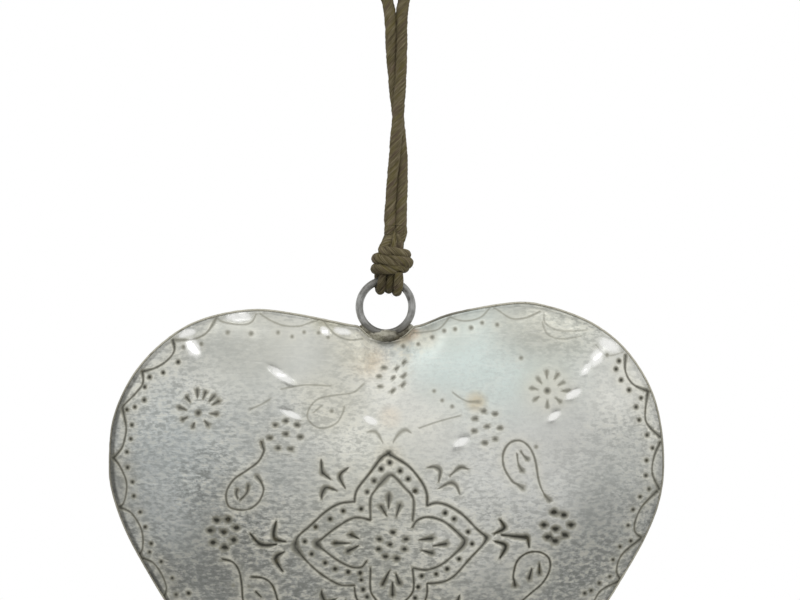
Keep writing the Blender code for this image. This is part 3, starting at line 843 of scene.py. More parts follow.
def facePoints():
    # the rim's loop first, then rows along the marks, then an even grid between them
    kept = np.vstack([edgeLine, lipLine] + [middle + (lipLine - middle) * s for s in faceGrid["rimShares"]])
    kept = [tuple(p) for p in kept]
    cells = {}
    cell = faceGrid["closest"]

    def cellOf(p):
        return int(p[0] // cell), int(p[1] // cell)

    for p in kept:
        cells.setdefault(cellOf(p), []).append(p)

    def keep(x, z):
        # unless another point is too close
        a, b = cellOf((x, z))
        near = (q for i in (a - 1, a, a + 1) for k in (b - 1, b, b + 1) for q in cells.get((i, k), ()))
        if all((x - q[0]) ** 2 + (z - q[1]) ** 2 >= cell * cell for q in near):
            cells.setdefault((a, b), []).append((x, z))
            kept.append((x, z))

    rimCount = len(kept)
    lines = np.any(samples[:, 5:] != 0, axis=1)
    for side in faceGrid["rows"]:
        for x, z, width, _, _, wayX, wayZ in samples[lines]:
            out = side * mm * max(1.0, width / faceGrid["thinLine"])
            if abs(side) > faceGrid["outerRow"]:
                out = side * mm + math.copysign(width, side)
            keep(x - wayZ * out, z + wayX * out)
    for x, z, width in samples[~lines, :3]:
        keep(x, z)
        for reach, count in faceGrid["dotRings"]:
            for k in range(count):
                angle = math.tau * (k + reach) / count
                keep(x + reach * width * math.cos(angle), z + reach * width * math.sin(angle))
    for across, down, long, wide, turn in facets["places"]:
        x, z = onDish(across, down)
        cos, sin = math.cos(math.radians(-turn)), math.sin(math.radians(-turn))
        halves = [size / 2 * picture["scale"] * facets["gridReach"] for size in (long, wide)]
        for a in np.arange(-halves[0], halves[0], facets["spacing"]):
            for b in np.arange(-halves[1], halves[1], facets["spacing"]):
                if (a / halves[0]) ** 2 + (b / halves[1]) ** 2 < 1:
                    keep(x + a * cos - b * sin, z + a * sin + b * cos)
    near = treeOf(kept[rimCount:])
    step = faceGrid["spacing"]
    low, high = lipLine.min(0), lipLine.max(0)
    xs, zs = np.meshgrid(np.arange(low[0], high[0], step), np.arange(low[1], high[1], step * math.sqrt(0.75)))
    xs[1::2] += step / 2
    xs, zs = xs.ravel(), zs.ravel()
    inner = dishShare(xs, zs) < faceGrid["rimShares"][-1] - faceGrid["rimRoom"]
    kept += [p for p in zip(xs[inner], zs[inner]) if near.find((*p, 0))[2] > faceGrid["gridRoom"] * step]
    # nothing outside the lip's loop apart from the rim's own two rows
    points = np.array(kept)
    good = dishShare(*points.T) < faceGrid["inside"]
    good[:2 * len(edgeLine)] = True
    return points[good]


def insideRings(side):
    # the inner side: plain rings one sheet's thickness further in, and the point in the middle
    thick = heart["sheet"]
    room = faceGrid["insideRoom"] * thick
    rings = [np.insert(edgeLine, 1, side * heart["gap"] / 2, axis=1)]
    for share in faceGrid["insideRings"]:
        ringLine = middle + (lipLine - middle) * share
        depth = dishHeight(*ringLine.T) - thick
        if share < 1:
            depth = np.maximum(depth - room, heart["gap"] / 2)
        rings.append(np.insert(ringLine, 1, side * depth, axis=1))
    crown = dishHeight(*middle) - thick - room
    return rings + [np.array([(middle[0], side * crown, middle[1])])]


def mapFace(mesh, vertices, side, outsideCorners):
    # the outer side fills the map, and the unseen inner side lies in its lower left corner
    corner = np.zeros(len(mesh.loops), np.int32)
    mesh.loops.foreach_get("vertex_index", corner)
    flat = vertices[:, [0, 2]]
    uv = (flat[corner] - flat.min(0)) / max(heart["width"], heart["height"])
    (size, margin), (smallSize, smallMargin) = faceGrid["outsideMap"], faceGrid["insideMap"]
    small = uv[outsideCorners:] * smallSize + smallMargin
    uv = uv * size + margin
    if side > 0:
        uv[:, 0] = 1 - uv[:, 0]
        small[:, 0] = faceGrid["insideMirror"] - small[:, 0]
    uv[outsideCorners:] = small
    mesh.uv_layers.new(name="OFBake").data.foreach_set("uv", uv.astype(np.float32).ravel())


def makeFace(name, side, seed, finish):
    # side is -1 for the front and 1 for the back, whose pattern is the front's seen through the heart
    rim = len(edgeLine)
    places, _, triangles, sources, _, _ = delaunay_2d_cdt(
        [Vector(p) / mm for p in facePoints()], [(i, (i + 1) % rim) for i in range(rim)], [], 1, 1e-6)
    first = {s: made for made, source in enumerate(sources) for s in source}
    x, z = np.array([tuple(p) for p in places]).T * mm
    height, marked = faceRelief(x, z, seed)
    outer = np.column_stack([x, side * (dishHeight(x, z) + height), z])
    inner = insideRings(side)
    vertices = np.vstack([outer] + inner)
    a, b, c = (outer[i] for i in triangles[0])
    way = -1 if np.cross(b - a, c - a)[1] * side < 0 else 1
    faces = [tuple(corners[::way]) for corners in triangles]
    outsideCorners = len(faces) * 3
    rows = [[first[i] for i in range(rim)]]
    rows += [[len(outer) + r * rim + i for i in range(rim)] for r in range(len(inner) - 1)]
    tip = [len(vertices) - 1] * rim
    for upper, lower in zip(rows, rows[1:] + [tip]):
        for i in range(rim):
            k = (i + 1) % rim
            below = (lower[i],) if lower is tip else (lower[k], lower[i])
            faces.append((upper[i], upper[k], *below)[::-side])
    pad = np.zeros(len(vertices) - len(outer))
    made = makePiece(name, vertices, faces, finish,
                     {label: np.concatenate([values, pad]) for label, values in marked.items()})
    mapFace(made.data, vertices, side, outsideCorners)
    made.data.set_sharp_from_angle(angle=math.radians(faceGrid["sharp"]))
    print("stage:", name, len(vertices), "points,", len(faces), "faces")
    return made


cord = {
    "diameter": 0.0031,
    "tight": 0.0027,  # pulled tight round the ring
    "lay": 13.6 * mm,  # one full turn of its two plies
    "loopLay": 17.0 * mm,  # the same in the free loop, which hangs looser
    "turnPitch": 0.0028,
    "turnsFullness": 1.13,
    "wrapGap": 0.00064,
    "ringTurns": 2.5,
    "wrapTurns": 2.5,
    "wrapLift": 0.0002,
    "neck": 0.0048,
    # turns round the knot from its left side, distance from its middle, height above the swing axis
    "wraps": (
        (0.12, 0.0041, 0.0101), (0.25, 0.0042, 0.0095), (0.50, 0.0047, 0.0087), (1.00, 0.0052, 0.0075),
        (1.25, 0.0053, 0.0067), (1.50, 0.0055, 0.0060), (2.00, 0.0055, 0.0041), (2.25, 0.0049, 0.0040),
        (2.40, 0.0042, 0.0044), (2.50, 0.0040, 0.0045), (2.67, 0.0028, 0.0045),
    ),
    # the bundle of strands inside: distance from the knot's middle, height above the swing axis
    "core": (
        (0.0003, 0.0205), (0.0007, 0.0190), (0.0013, 0.0172), (0.0021, 0.0153), (0.0028, 0.0134),
        (0.0032, 0.0118), (0.0037, 0.0100), (0.0042, 0.0080), (0.0043, 0.0060), (0.0040, 0.0044),
        (0.0034, 0.0036), (0.0020, 0.0034),
    ),
    "leftLeg": (-0.0002, 0, -0.00372),  # from the knot's top to where the left strand starts to wind
    "legBend": (0.45, 0.0003875),  # share of the way to the first wrap, and how much higher
    "rightLeg": (0.6, 1.4),  # its end: share of the strands' half distance, diameters below the wraps
    "frontRise": 0.0027,
    "backRise": 0.0021,
    "turnsEnd": (-0.0012, 0.0015, 0.0004),  # beside the knot's middle, and above its lowest wrap
    "cordShift": 0.0031,
    "knotShift": 0.0019,
    "turnsShift": 0.0007,
    "loopTop": 0.1274,
    # height above the knot, middle of the pair, half the distance between the strands, turn in degrees
    "loopRoute": (
        (0.0000, 0.0000, 0.00179, 0), (0.0035, 0.0000, 0.00179, 0), (0.0079, 0.0002, 0.00180, 2),
        (0.0164, 0.0006, 0.00180, 20), (0.0233, 0.0009, 0.00180, 44), (0.0301, 0.0009, 0.00180, 66),
        (0.0369, 0.0009, 0.00180, 88), (0.0438, 0.0007, 0.00180, 110), (0.0506, 0.0006, 0.00180, 132),
        (0.0557, 0.0004, 0.00180, 150), (0.0609, 0.0003, 0.00181, 168), (0.0665, 0.0002, 0.00183, 180),
        (0.0725, 0.0001, 0.00205, 180), (0.0780, 0.0000, 0.00310, 180), (0.0840, 0.0000, 0.00520, 180),
        (0.0910, 0.0000, 0.00790, 180), (0.0990, 0.0000, 0.01040, 180), (0.1070, 0.0000, 0.01190, 180),
        (0.1150, 0.0000, 0.01200, 180), (0.1214, 0.0000, 0.01020, 180), (0.1258, 0.0000, 0.00600, 180),
    ),
}
wrapPitch = cord["diameter"] + cord["wrapGap"]
wrapLow = ring["wire"] / 2 + heart["gap"] + cord["tight"] + cord["wrapLift"]
wrapHigh = wrapLow + cord["wrapTurns"] * wrapPitch
knotTop = wrapHigh + cord["neck"]


def loopLine():
    up, down = [], []
    for height, middleX, halfGap, degrees in cord["loopRoute"]:
        turn = math.radians(degrees)
        reach = np.array((halfGap * math.cos(turn), halfGap * math.sin(turn), 0))
        centre = np.array((middleX, 0, spinHeight + height))
        up.append(centre - reach)
        down.append(centre + reach)
    top = np.array((0, 0, spinHeight + cord["loopTop"]))
    return smoothLine(up + [top] + down[::-1], False, 8)


def wrapLine():
    # the left strand comes down, winds round the knot, and tucks in at the right
    start = np.array((cord["cordShift"] - cord["loopRoute"][0][2], 0, knotTop))
    leg = start + cord["leftLeg"]
    shares, radii, heights = smoothLine(cord["wraps"], False, 9).T
    angle = math.pi + math.tau * shares
    wraps = np.stack([cord["knotShift"] + radii * np.cos(angle), radii * np.sin(angle), heights], 1)
    share, higher = cord["legBend"]
    bend = leg + (wraps[0] - leg) * share + (0, 0, higher)
    return smoothLine([start, (start + leg) / 2, leg, bend, *wraps], False, 4) + swingAxis


def rightLegLine():
    strand = cord["loopRoute"][0][2]
    start = np.array((cord["cordShift"] + strand, 0, knotTop))
    leg = start - (0, 0, cord["diameter"])
    share, down = cord["rightLeg"]
    inside = np.array((cord["knotShift"] + strand * share, 0, wrapHigh - down * cord["diameter"]))
    return smoothLine([start, leg, inside], False, 6) + swingAxis


def turnRadius(x):
    half = cord["tight"] / 2
    widest = 0.0
    for step in range(8):
        aside = half * step / 8
        reach = abs(x) + aside
        slope = math.sqrt(1 - (reach / ringRadius) ** 2)
        wire = ringRadius - math.sqrt(ringRadius ** 2 - reach ** 2) + ring["wire"] / 2 / slope
        widest = max(widest, wire + heart["gap"] + math.sqrt(half ** 2 - aside ** 2))
    return widest


def turnsLine():
    shares = np.linspace(0, cord["ringTurns"], 121)
    x = cord["turnsShift"] + cord["turnPitch"] * (cord["ringTurns"] / 2 - shares)
    radius = np.array([turnRadius(a) for a in x])
    angle = math.pi / 2 + math.tau * shares
    line = np.stack([x, -radius * np.sin(angle), radius * np.cos(angle)], 1)
    front = line[0] + (0, 0, cord["frontRise"])
    back = line[-1] + (0, 0, cord["backRise"])
    inside = np.array(cord["turnsEnd"]) + (cord["knotShift"], 0, wrapLow)  # both ends go up into the knot
    between = (back + inside) / 2 + (0, 0, cord["turnsEnd"][2])
    return np.vstack([front, line, back, between, inside]) + swingAxis


twine = {
    "coarse": 1.2 * mm,  # the line is smoothed through points this far apart
    "step": 0.28 * mm,
    "around": 26,
    "plyOffset": 0.105,  # of the cord's diameter, from its middle to a ply's middle
    "plyRadius": 0.430,
    "breadth": 1.06,  # a ply's breadth along the other ply
    "looseBreadth": 0.10,  # more of it above the knot, where the two strands lie side by side
    "looseFrom": (-130, 6),  # a height and how much further up it is full, in millimetres
    "ridges": (7, 11),
    "ridgeShares": (0.033, 0.0198),  # depth of each, as a share of the ply's radius
    "ridgeSway": (3, 9 * mm),  # radians, and the length over which it changes
    "swellSize": 7 * mm,
    "fibreTwist": 0.42,  # turns of a ply's own fibres against the lay, per turn of the lay
    "thickness": 0.06,  # slow change of a ply's thickness
    "apart": (0.02, 0.05),  # keeps the fibres of the plies and of the lengths from being the same
    "plainEnd": 2.5 * mm,  # ridges and thickness fade out here, so that lengths meet without a step
    "fullness": 1.16,  # soft fibres fill more than the cord's nominal size
    # the same for the loop and the knot, at heights in millimetres
    "loopFullness": ((-131, -126, -118, -108, -98, -82, -68, -62, -56, -48, -42),
                     (1.16, 1.30, 1.18, 1.12, 1.20, 1.20, 1.14, 1.18, 1.26, 1.24, 1.16)),
    "coreAround": 48,
    "coreStrands": 6,
    "coreTurn": 2.2 * mm,  # how slowly the strands inside the knot turn
    "coreWave": 0.045,  # their relief, as a share of the bundle's radius
    "coreLean": (8, 6),  # the bundle leans to the loop from here up, over this height, in millimetres
    "coreCrest": (0.93, 0.06),
}


def frames(line):
    # two directions across the line at each point, which turn as little as possible
    along = unit(np.gradient(line, axis=0))
    across = np.zeros_like(line)
    current = np.array((0.0, 1.0, 0.0) if abs(along[0][1]) < 0.9 else (1.0, 0.0, 0.0))
    for i, direction in enumerate(along):
        current = current - direction * (current @ direction)
        across[i] = current = current / np.linalg.norm(current)
    return along, across, np.cross(along, across)


def loopFullness(z):
    # the twine is looser at the knot and pressed flat where the strands cross
    heights, shares = twine["loopFullness"]
    return np.interp(z / mm, heights, shares)


def joined(parts):
    # several (points, faces, straightened points, crest) as one
    points, sides, straight, crest = zip(*parts)
    starts = np.cumsum([0] + [len(p) for p in points])
    faces = [tuple(start + i for i in face) for start, some in zip(starts.tolist(), sides) for face in some]
    return np.vstack(points), faces, np.vstack(straight), np.concatenate(crest)


def plies(line, diameter, seed, way=None, fullness=None, lay=cord["lay"]):
    # the two plies of the twine along a line; way is the direction from its start to the first ply
    line = evenLine(smoothLine(evenLine(line, twine["coarse"]), False, 6), twine["step"])
    _, across, side = frames(line)
    distance = np.arange(len(line))[:, None] * twine["step"]
    wide = diameter * (fullness(line[:, 2:]) if fullness else np.full_like(distance, cord["turnsFullness"]))
    plain = ease(np.minimum(distance, distance[-1] - distance) / twine["plainEnd"])
    height, further = twine["looseFrom"]
    breadth = twine["breadth"] + twine["looseBreadth"] * ease((line[:, 2:] / mm - height) / further)
    angles = np.arange(twine["around"]) * math.tau / twine["around"]
    own = angles - twine["fibreTwist"] * math.tau * distance / lay
    swayAngle, swayLength = twine["ridgeSway"]
    sway = swayAngle * np.sin(distance / swayLength + seed)
    phase = 0.0 if way is None else math.atan2(way @ side[0], way @ across[0])
    (broad, narrow), (broadShare, narrowShare) = twine["ridges"], twine["ridgeShares"]
    parts = []
    for ply in range(2):
        turn = phase + math.pi * ply + math.tau * distance / lay
        outwards = across * np.cos(turn) + side * np.sin(turn)
        sideways = side * np.cos(turn) - across * np.sin(turn)
        swell = np.array([[noise.noise(Vector((d / twine["swellSize"], seed + ply * 3.7, 0.3)))]
                          for d in distance[:, 0]])
        radius = wide * twine["plyRadius"] * (1 + twine["thickness"] * swell * plain)
        wave = broadShare * np.sin(broad * own + sway) + narrowShare * np.sin(narrow * own + 2.0 * ply + seed)
        r = radius * (1 + wave * plain)
        points = ((line + outwards * wide * twine["plyOffset"])[:, None]
                  + (r * np.cos(angles))[..., None] * outwards[:, None]
                  + (breadth * r * np.sin(angles))[..., None] * sideways[:, None])
        apart = np.dot(twine["apart"], (ply, seed))
        straight = np.stack([radius * np.cos(own) + apart, radius * np.sin(own), distance + 0 * own], -1)
        crest = np.linalg.norm(points - line[:, None], axis=2) / (wide / 2)
        parts.append((points.reshape(-1, 3), tubeFaces(*own.shape), straight.reshape(-1, 3), crest.ravel()))
    return joined(parts), line, outwards[-1]


fuzz = {
    "perMetre": 950,
    "length": (1.2 * mm, 4.2 * mm),
    "lift": (0.10 * mm, 0.9 * mm),
    "radius": 0.028 * mm,
    "points": 5,
    "slant": 0.7,
    "curl": 0.4 * mm,
    "rise": 1.6,  # of the lift at the tip
    "taper": 0.6,
    "start": 0.47,  # of the twine's diameter, from its middle
    "crest": 1.05,
}


def looseFibres(line, diameter, seed):
    # short hairs that start in the twine and stand a little off it
    luck = random.Random(seed)
    along, across, side = frames(line)
    rows = fuzz["points"]
    vertices, faces = [], []
    for _ in range(int(len(line) * np.linalg.norm(line[1] - line[0]) * fuzz["perMetre"])):
        i = luck.randrange(2, len(line) - 2)
        angle = luck.uniform(0, math.tau)
        length = luck.uniform(*fuzz["length"])
        lift = luck.uniform(*fuzz["lift"]) * luck.random()
        slant = luck.uniform(-fuzz["slant"], fuzz["slant"])
        way = luck.choice((-1, 1))
        curl = luck.uniform(-fuzz["curl"], fuzz["curl"])
        faces += tubeFaces(rows, 3, len(vertices))
        for t in np.linspace(0, 1, rows):
            at = angle + slant * t
            out = across[i] * math.cos(at) + side[i] * math.sin(at)
            over = side[i] * math.cos(at) - across[i] * math.sin(at)
            centre = (line[i] + along[i] * way * length * t
                      + out * (diameter * fuzz["start"] + lift * fuzz["rise"] * t * t) + over * curl * t * t)
            thin = fuzz["radius"] * (1 - fuzz["taper"] * t)
            for corner in np.arange(3) * math.tau / 3:
                vertices.append(centre + thin * (math.cos(corner) * out + math.sin(corner) * over))
    return np.array(vertices), faces


def twinePart(line, diameter, seed, way=None, fullness=None, lay=cord["lay"]):
    # points, faces, straightened points and crest, and the direction to a ply at the line's end
    part, centre, last = plies(line, diameter, seed, way, fullness, lay)
    hairs, hairFaces = looseFibres(centre, diameter * twine["fullness"], seed + 11)
    return joined([part, (hairs, hairFaces, hairs, np.full(len(hairs), fuzz["crest"]))]), last


def knotCore():
    # the bundle of strands inside the wraps, up to between the two legs
    r, z = np.hsplit(smoothLine(cord["core"], False, 3), 2)
    angles = np.arange(twine["coreAround"]) * math.tau / twine["coreAround"]
    wave = np.sin(twine["coreStrands"] * angles + z / twine["coreTurn"])
    (start, further), (crest, crestWave) = twine["coreLean"], twine["coreCrest"]
    lean = (cord["cordShift"] - cord["knotShift"]) * ease((z / mm - start) / further)
    wide = r * (1 + twine["coreWave"] * wave)
    level = z + 0 * wave
    points = np.stack([cord["knotShift"] + lean + wide * np.cos(angles), wide * np.sin(angles), level], -1)
    straight = np.stack([r * np.cos(angles), r * np.sin(angles), level], -1)
    return (points.reshape(-1, 3) + swingAxis, tubeFaces(*wave.shape, flipped=True), straight.reshape(-1, 3),
            (crest + crestWave * wave).ravel())


washTones = {
    "light": tone(222, 222, 215),
    "middle": tone(205, 206, 200),
    "dull": tone(186, 188, 183),
    # low: painted shade for the lower heart, as if the light came from above
    "low": tone(136, 138, 135),
    "patina": tone(38, 38, 27),
    "brown": tone(66, 62, 44),
    "cream": tone(224, 221, 206),
    "tan": tone(178, 176, 158),
    # rimShade: painted shade at the rim's edge
    "rimShade": tone(66, 66, 60),
    "pit": tone(112, 114, 108),
    # paintedHighlight: near-white paint on the flat spots, standing in for glints
    "paintedHighlight": tone(245, 245, 242),
    "metallic": 0.72,
    "roughness": 0.37,
    "coatRoughness": 0.12,
    "relief": 0.28 * mm,
    # from and to which value a noise counts, and how strongly
    "specks": (0.42, 0.70, 0.30),
    "streaks": (0.52, 0.72, 0.22),
    "darkBlots": (0.36, 0.50, 0.28),
    "paleBlots": (0.50, 0.64, 0.60),
    "darkPits": (0.36, 0.56, 0.62),
    "palePits": (0.50, 0.66, 0.45),
    "tanEdge": (0.05, 0.35, 0.50),
    "brownDirt": (0.54, 0.68, 1.0),
    # places with less or more grain: pixel across, down, radius in pixels, share of the grain
    "grain": ((500, 350, 85, 0.3), (440, 350, 50, 0.3), (545, 400, 50, 0.3), (250, 350, 70, 0.3),
              (300, 350, 45, 0.3), (425, 420, 55, 0.35), (612, 378, 46, 0.35), (590, 460, 80, 0.72),
              (350, 375, 55, 0.55), (505, 445, 60, 0.5), (400, 400, 50, 0.7), (330, 450, 60, 0.75),
              (215, 490, 46, 1.35), (250, 545, 40, 1.3)),
    # places where the painted shade low on the heart is weaker: pixel across, down, radius in pixels, share
    # of that shade
    "paler": ((500, 515, 112, 0.25), (165, 515, 62, 0.30), (440, 580, 60, 0.75), (610, 540, 40, 0.7),
              (164, 588, 46, 0.35), (232, 580, 42, 0.5)),
    # tinted places, partly the wash's own tint and partly painted light and shade (lighter patches, and
    # darker ones low on the heart): pixel across, down, radius in pixels, colour, strength
    "tintsAndPaintedLight": (
        (500, 350, 90, tone(206, 219, 215), 0.75),
        (440, 350, 50, tone(206, 219, 215), 0.6),
        (365, 359, 24, tone(206, 188, 160), 0.75),
        (413, 334, 9, tone(214, 176, 140), 0.8),
        (389, 418, 14, tone(208, 184, 156), 0.55),
        (476, 402, 12, tone(190, 168, 120), 0.6),
        (547, 390, 34, tone(198, 192, 172), 0.45),
        (389, 455, 16, tone(186, 170, 132), 0.55),
        (365, 440, 50, tone(236, 236, 226), 0.6),
        (125, 440, 22, tone(176, 180, 180), 0.5),
        (330, 400, 40, tone(206, 203, 186), 0.5),
        (390, 540, 110, tone(190, 190, 176), 0.45),
        (330, 320, 22, tone(206, 200, 160), 0.6),
        (565, 325, 50, tone(198, 198, 184), 0.45),
        (170, 450, 80, tone(180, 188, 190), 0.6),
        (180, 560, 90, tone(150, 154, 151), 0.6),
        (610, 520, 90, tone(172, 175, 172), 0.5),
        (240, 350, 60, tone(188, 190, 182), 0.6),
        (590, 590, 70, tone(140, 142, 137), 0.75),
        (470, 640, 110, tone(140, 141, 134), 0.7),
        (300, 640, 120, tone(138, 139, 132), 0.7),
        (390, 760, 140, tone(146, 148, 143), 0.6),
        (350, 350, 26, tone(218, 214, 196), 0.8),
        (425, 338, 16, tone(212, 208, 190), 0.6),
        (475, 485, 75, tone(220, 221, 217), 0.65),
        (450, 560, 56, tone(200, 199, 190), 0.55),
        (550, 445, 62, tone(212, 212, 208), 0.55),
        (425, 430, 42, tone(224, 223, 214), 0.40),
        (535, 535, 50, tone(190, 191, 187), 0.35),
        (155, 512, 42, tone(192, 197, 196), 0.55),
        (265, 332, 52, tone(176, 176, 168), 0.65),
        (520, 322, 46, tone(172, 172, 162), 0.70),
        (452, 328, 34, tone(178, 182, 174), 0.60),
        (164, 588, 42, tone(98, 99, 95), 0.85),
        (235, 512, 46, tone(146, 148, 144), 0.50),
        (232, 576, 46, tone(112, 113, 108), 0.62),
        (112, 414, 32, tone(140, 142, 138), 0.55),
        (208, 332, 52, tone(162, 163, 157), 0.55),
        (338, 345, 38, tone(166, 166, 158), 0.65),
        (345, 392, 42, tone(184, 184, 175), 0.45),
        (548, 326, 46, tone(168, 168, 158), 0.65),
        (118, 470, 24, tone(126, 127, 122), 0.60),
        (255, 442, 70, tone(166, 170, 168), 0.35),
        (310, 572, 36, tone(196, 197, 190), 0.45),
        (470, 528, 74, tone(227, 228, 223), 0.60),
        (545, 500, 42, tone(227, 228, 224), 0.55),
        (166, 508, 40, tone(208, 212, 210), 0.50),
        (364, 338, 17, tone(236, 234, 222), 0.85),
        (404, 338, 13, tone(226, 212, 184), 0.75),
    ),
}


washNoise = {  # size, detail, roughness and, where it isn't even, stretch
    "cloud": (22 * mm, 5.0, 0.6),
    "patchy": (5 * mm, 4.0, 0.65),
    "speck": (0.9 * mm, 3.0, 0.7),
    "streak": (9 * mm, 3.0, 0.6, (1.0, 1.0, 9.0)),
    "grime": (2.4 * mm, 3.0, 0.6),
    "pits": (1.5 * mm, 2.0, 0.6, (0.65, 1.0, 1.25)),
    "blots": (1.9 * mm, 3.0, 0.6),
    "grain": (1.4 * mm, 2.0, 0.55, (0.8, 1.0, 1.15)),
    "ripple": (2.4 * mm, 2.0, 0.5, (0.30, 1.0, 2.2)),
    "fine": (0.35 * mm, 2.0, 0.6),
}


def silverWash(name, side):
    # the aged white wash over sheet iron, with dirt in the punched marks
    made, tree, where = newFinish(name)
    tones = washTones
    cut, halo, rimBand, glint = (attribute(tree, label) for label in ("cut", "halo", "rimBand", "glint"))
    cloud, patchy, speck, streak, grime, pits, blots, grain, ripple, fine = (
        noiseOn(where, *look) for look in washNoise.values())
    height = axisOf(where, "Z")

    def above(value, label):
        low, high, strength = tones[label]
        return value.ramp(low, high) * strength

    def below(value, label):
        low, high, strength = tones[label]
        return (1 - value.ramp(low, high)) * strength

    def away(across, down, pixels, inner=0.4, outer=1.2):
        x, z = onDish(across, down)
        return awayFrom(where, (x, side * float(dishHeight(x, z)), z), pixels, inner, outer)

    # painted shade: the wash darkens towards the bottom of the heart, as if lit from above
    low = 1 - height.ramp(rowHeight(600), rowHeight(455))
    for across, down, pixels, share in tones["paler"]:
        low = low * (share + away(across, down, pixels) * (1 - share))
    rough = 0.5 + cloud.ramp(0.35, 0.65) * 0.35 + low * 0.35
    for across, down, pixels, share in tones["grain"]:
        rough = rough * (share + away(across, down, pixels) * (1 - share))
    foot = (swingAxis[0], 0, swingAxis[2] - 2 * ringRadius)
    atCleft = 1 - distanceFrom(where, foot).ramp(9 * mm, 22 * mm)
    rough = rough * (1 - atCleft * 0.6) * (1 - glint * 0.9)
    # painted shade along the rim, strongest on the far left and a little stronger low down
    farLeft = (swingAxis[0] - heart["width"] / 2, 0, middle[1] + 3 * mm)
    left = 1 - distanceFrom(where, farLeft).ramp(40 * mm, 68 * mm)
    lower = 1 - height.ramp(rowHeight(400), rowHeight(330))
    paintedRimShade = rimBand.ramp(0.42, 0.88) * (0.12 + lower * 0.10 + left * 0.48) * (0.75 + grime * 0.5)
    dirt = (cut * (0.85 + grime * 0.45)).clamped()
    # painted highlight: a near-white, less metallic wash on the flat spots that catch a lamp, weaker on the
    # back
    ragged = (glint * 1.05 + (grime - 0.5) * 1.2).ramp(0.18, 1.1)
    paintedHighlight = ragged * glint.ramp(0.0, 0.6) * (0.80 if side < 0 else 0.35)

    colour = colourRamp(cloud, (0.30, tones["dull"]), (0.50, tones["middle"]), (0.68, tones["light"]))
    uneven = (patchy * 0.9 + 0.55).clamped()
    # tinted places: partly the wash's own tint, partly painted light and shade
    for across, down, pixels, placeTone, strength in tones["tintsAndPaintedLight"]:
        colour = mixColours((1 - away(across, down, pixels, 0.25, 1.25)) * uneven * strength, colour, placeTone)
    colour = layered(
        colour,
        (low * (0.35 + patchy * 0.5), tones["low"]),
        (above(speck, "specks"), tones["dull"]),
        (above(streak, "streaks"), tones["light"]),
        (below(blots, "darkBlots") * atCleft, tones["pit"]),
        (above(blots, "paleBlots") * atCleft, tones["cream"]),
        (halo * (0.45 + grime * 0.3), tones["cream"]),
        (below(pits, "darkPits") * rough, tones["pit"]),
        (above(pits, "palePits") * rough, tones["cream"]),
        (paintedRimShade.clamped(), tones["rimShade"]),
        (above(cut, "tanEdge"), tones["tan"]),
        (dirt, mixColours(above(grime, "brownDirt"), tones["patina"], tones["brown"])),
        (paintedHighlight * (1 - dirt), tones["paintedHighlight"]),
    )
    leftHalf = 1 - axisOf(where, "X").ramp(-20 * mm, 35 * mm)
    bumps = (grain * 0.7 + ripple * (0.15 + leftHalf * 0.45) + fine * 0.15) * rough
    roughness = tones["roughness"] + patchy * 0.16 - 0.08 + dirt * 0.35 + atCleft * 0.15 - glint * 0.22
    return finished(made, {
        "Base Color": colour,
        "Metallic": (tones["metallic"] - dirt * 0.6 - halo * 0.08 - paintedHighlight * 0.5).clamped(),
        "Coat Weight": glint * 0.6,
        "Coat Roughness": tones["coatRoughness"],
        "Roughness": roughness.clamped(),
        "Normal": bumped(bumps, tones["relief"]),
    })


steelTones = {
    "light": tone(196, 196, 193),
    "middle": tone(152, 152, 149),
    "dark": tone(78, 75, 66),
    "wear": (0.55 * mm, 4.0, 0.6, (1.0, 1.0, 0.16)),  # noises, as in washNoise
    "cloud": (3.5 * mm, 3.0, 0.6),
    "dirtAndShadeTop": (3.5 * mm, 8 * mm),  # distances over which the dirt and painted shade fade
    "dirtAndShadeFoot": (5 * mm, 10 * mm),
    "metallic": 0.85,
    "relief": 0.03 * mm,
}


def wornSteel(name):
    made, tree, where = newFinish(name)
    tones = steelTones
    wear = noiseOn(attribute(tree, "straight", "Vector"), *tones["wear"])
    cloud = noiseOn(where, *tones["cloud"])
    top, foot = ((swingAxis[0], 0, swingAxis[2] - down) for down in (0, 2 * ringRadius))
    # darker under the twine's turns at the ring's top and at its foot in the braze: dirt and painted shade
    dirtAndShade = 1 - distanceFrom(where, top).ramp(*tones["dirtAndShadeTop"])
    dirtAndShade = dirtAndShade + (1 - distanceFrom(where, foot).ramp(*tones["dirtAndShadeFoot"])) * 0.8
    colour = colourRamp(cloud * 0.6 + wear * 0.4,
                        (0.30, tones["dark"]), (0.50, tones["middle"]), (0.72, tones["light"]))
    return finished(made, {
        "Base Color": mixColours((dirtAndShade * (0.4 + cloud)).clamped() * 0.75, colour, tones["dark"]),
        "Metallic": tones["metallic"],
        "Roughness": 0.36 + cloud * 0.2,
        "Normal": bumped(wear, tones["relief"]),
    })


brazeTones = {
    "light": tone(186, 183, 168),
    "middle": tone(112, 108, 92),
    "dark": tone(48, 43, 30),
    "lump": (1.1 * mm, 4.0, 0.65),
    "cloud": (4.5 * mm, 2.0, 0.5),
    "metallic": 0.7,
    "relief": 0.08 * mm,
}


def darkBraze(name, bias, darkPlaces):
    # bias above 0 makes it lighter; darkPlaces are pixel across, down, radius in pixels and strength
    made, tree, where = newFinish(name)
    tones = brazeTones
    lump, cloud = (noiseOn(where, *tones[label]) for label in ("lump", "cloud"))
    colour = colourRamp(lump * 0.6 + cloud * 0.4 + bias,
                        (0.36, tones["dark"]), (0.52, tones["middle"]), (0.70, tones["light"]))
    for across, down, pixels, strength in darkPlaces:
        x, z = onPlane(across, down)
        mask = 1 - awayFrom(where, (x, 0, z), pixels, 0.4, 1.2)
        colour = mixColours(mask * strength, colour, tones["dark"])
    return finished(made, {
        "Base Color": colour,
        "Metallic": tones["metallic"],
        "Roughness": 0.38 + lump * 0.3,
        "Normal": bumped(lump, tones["relief"]),
    })


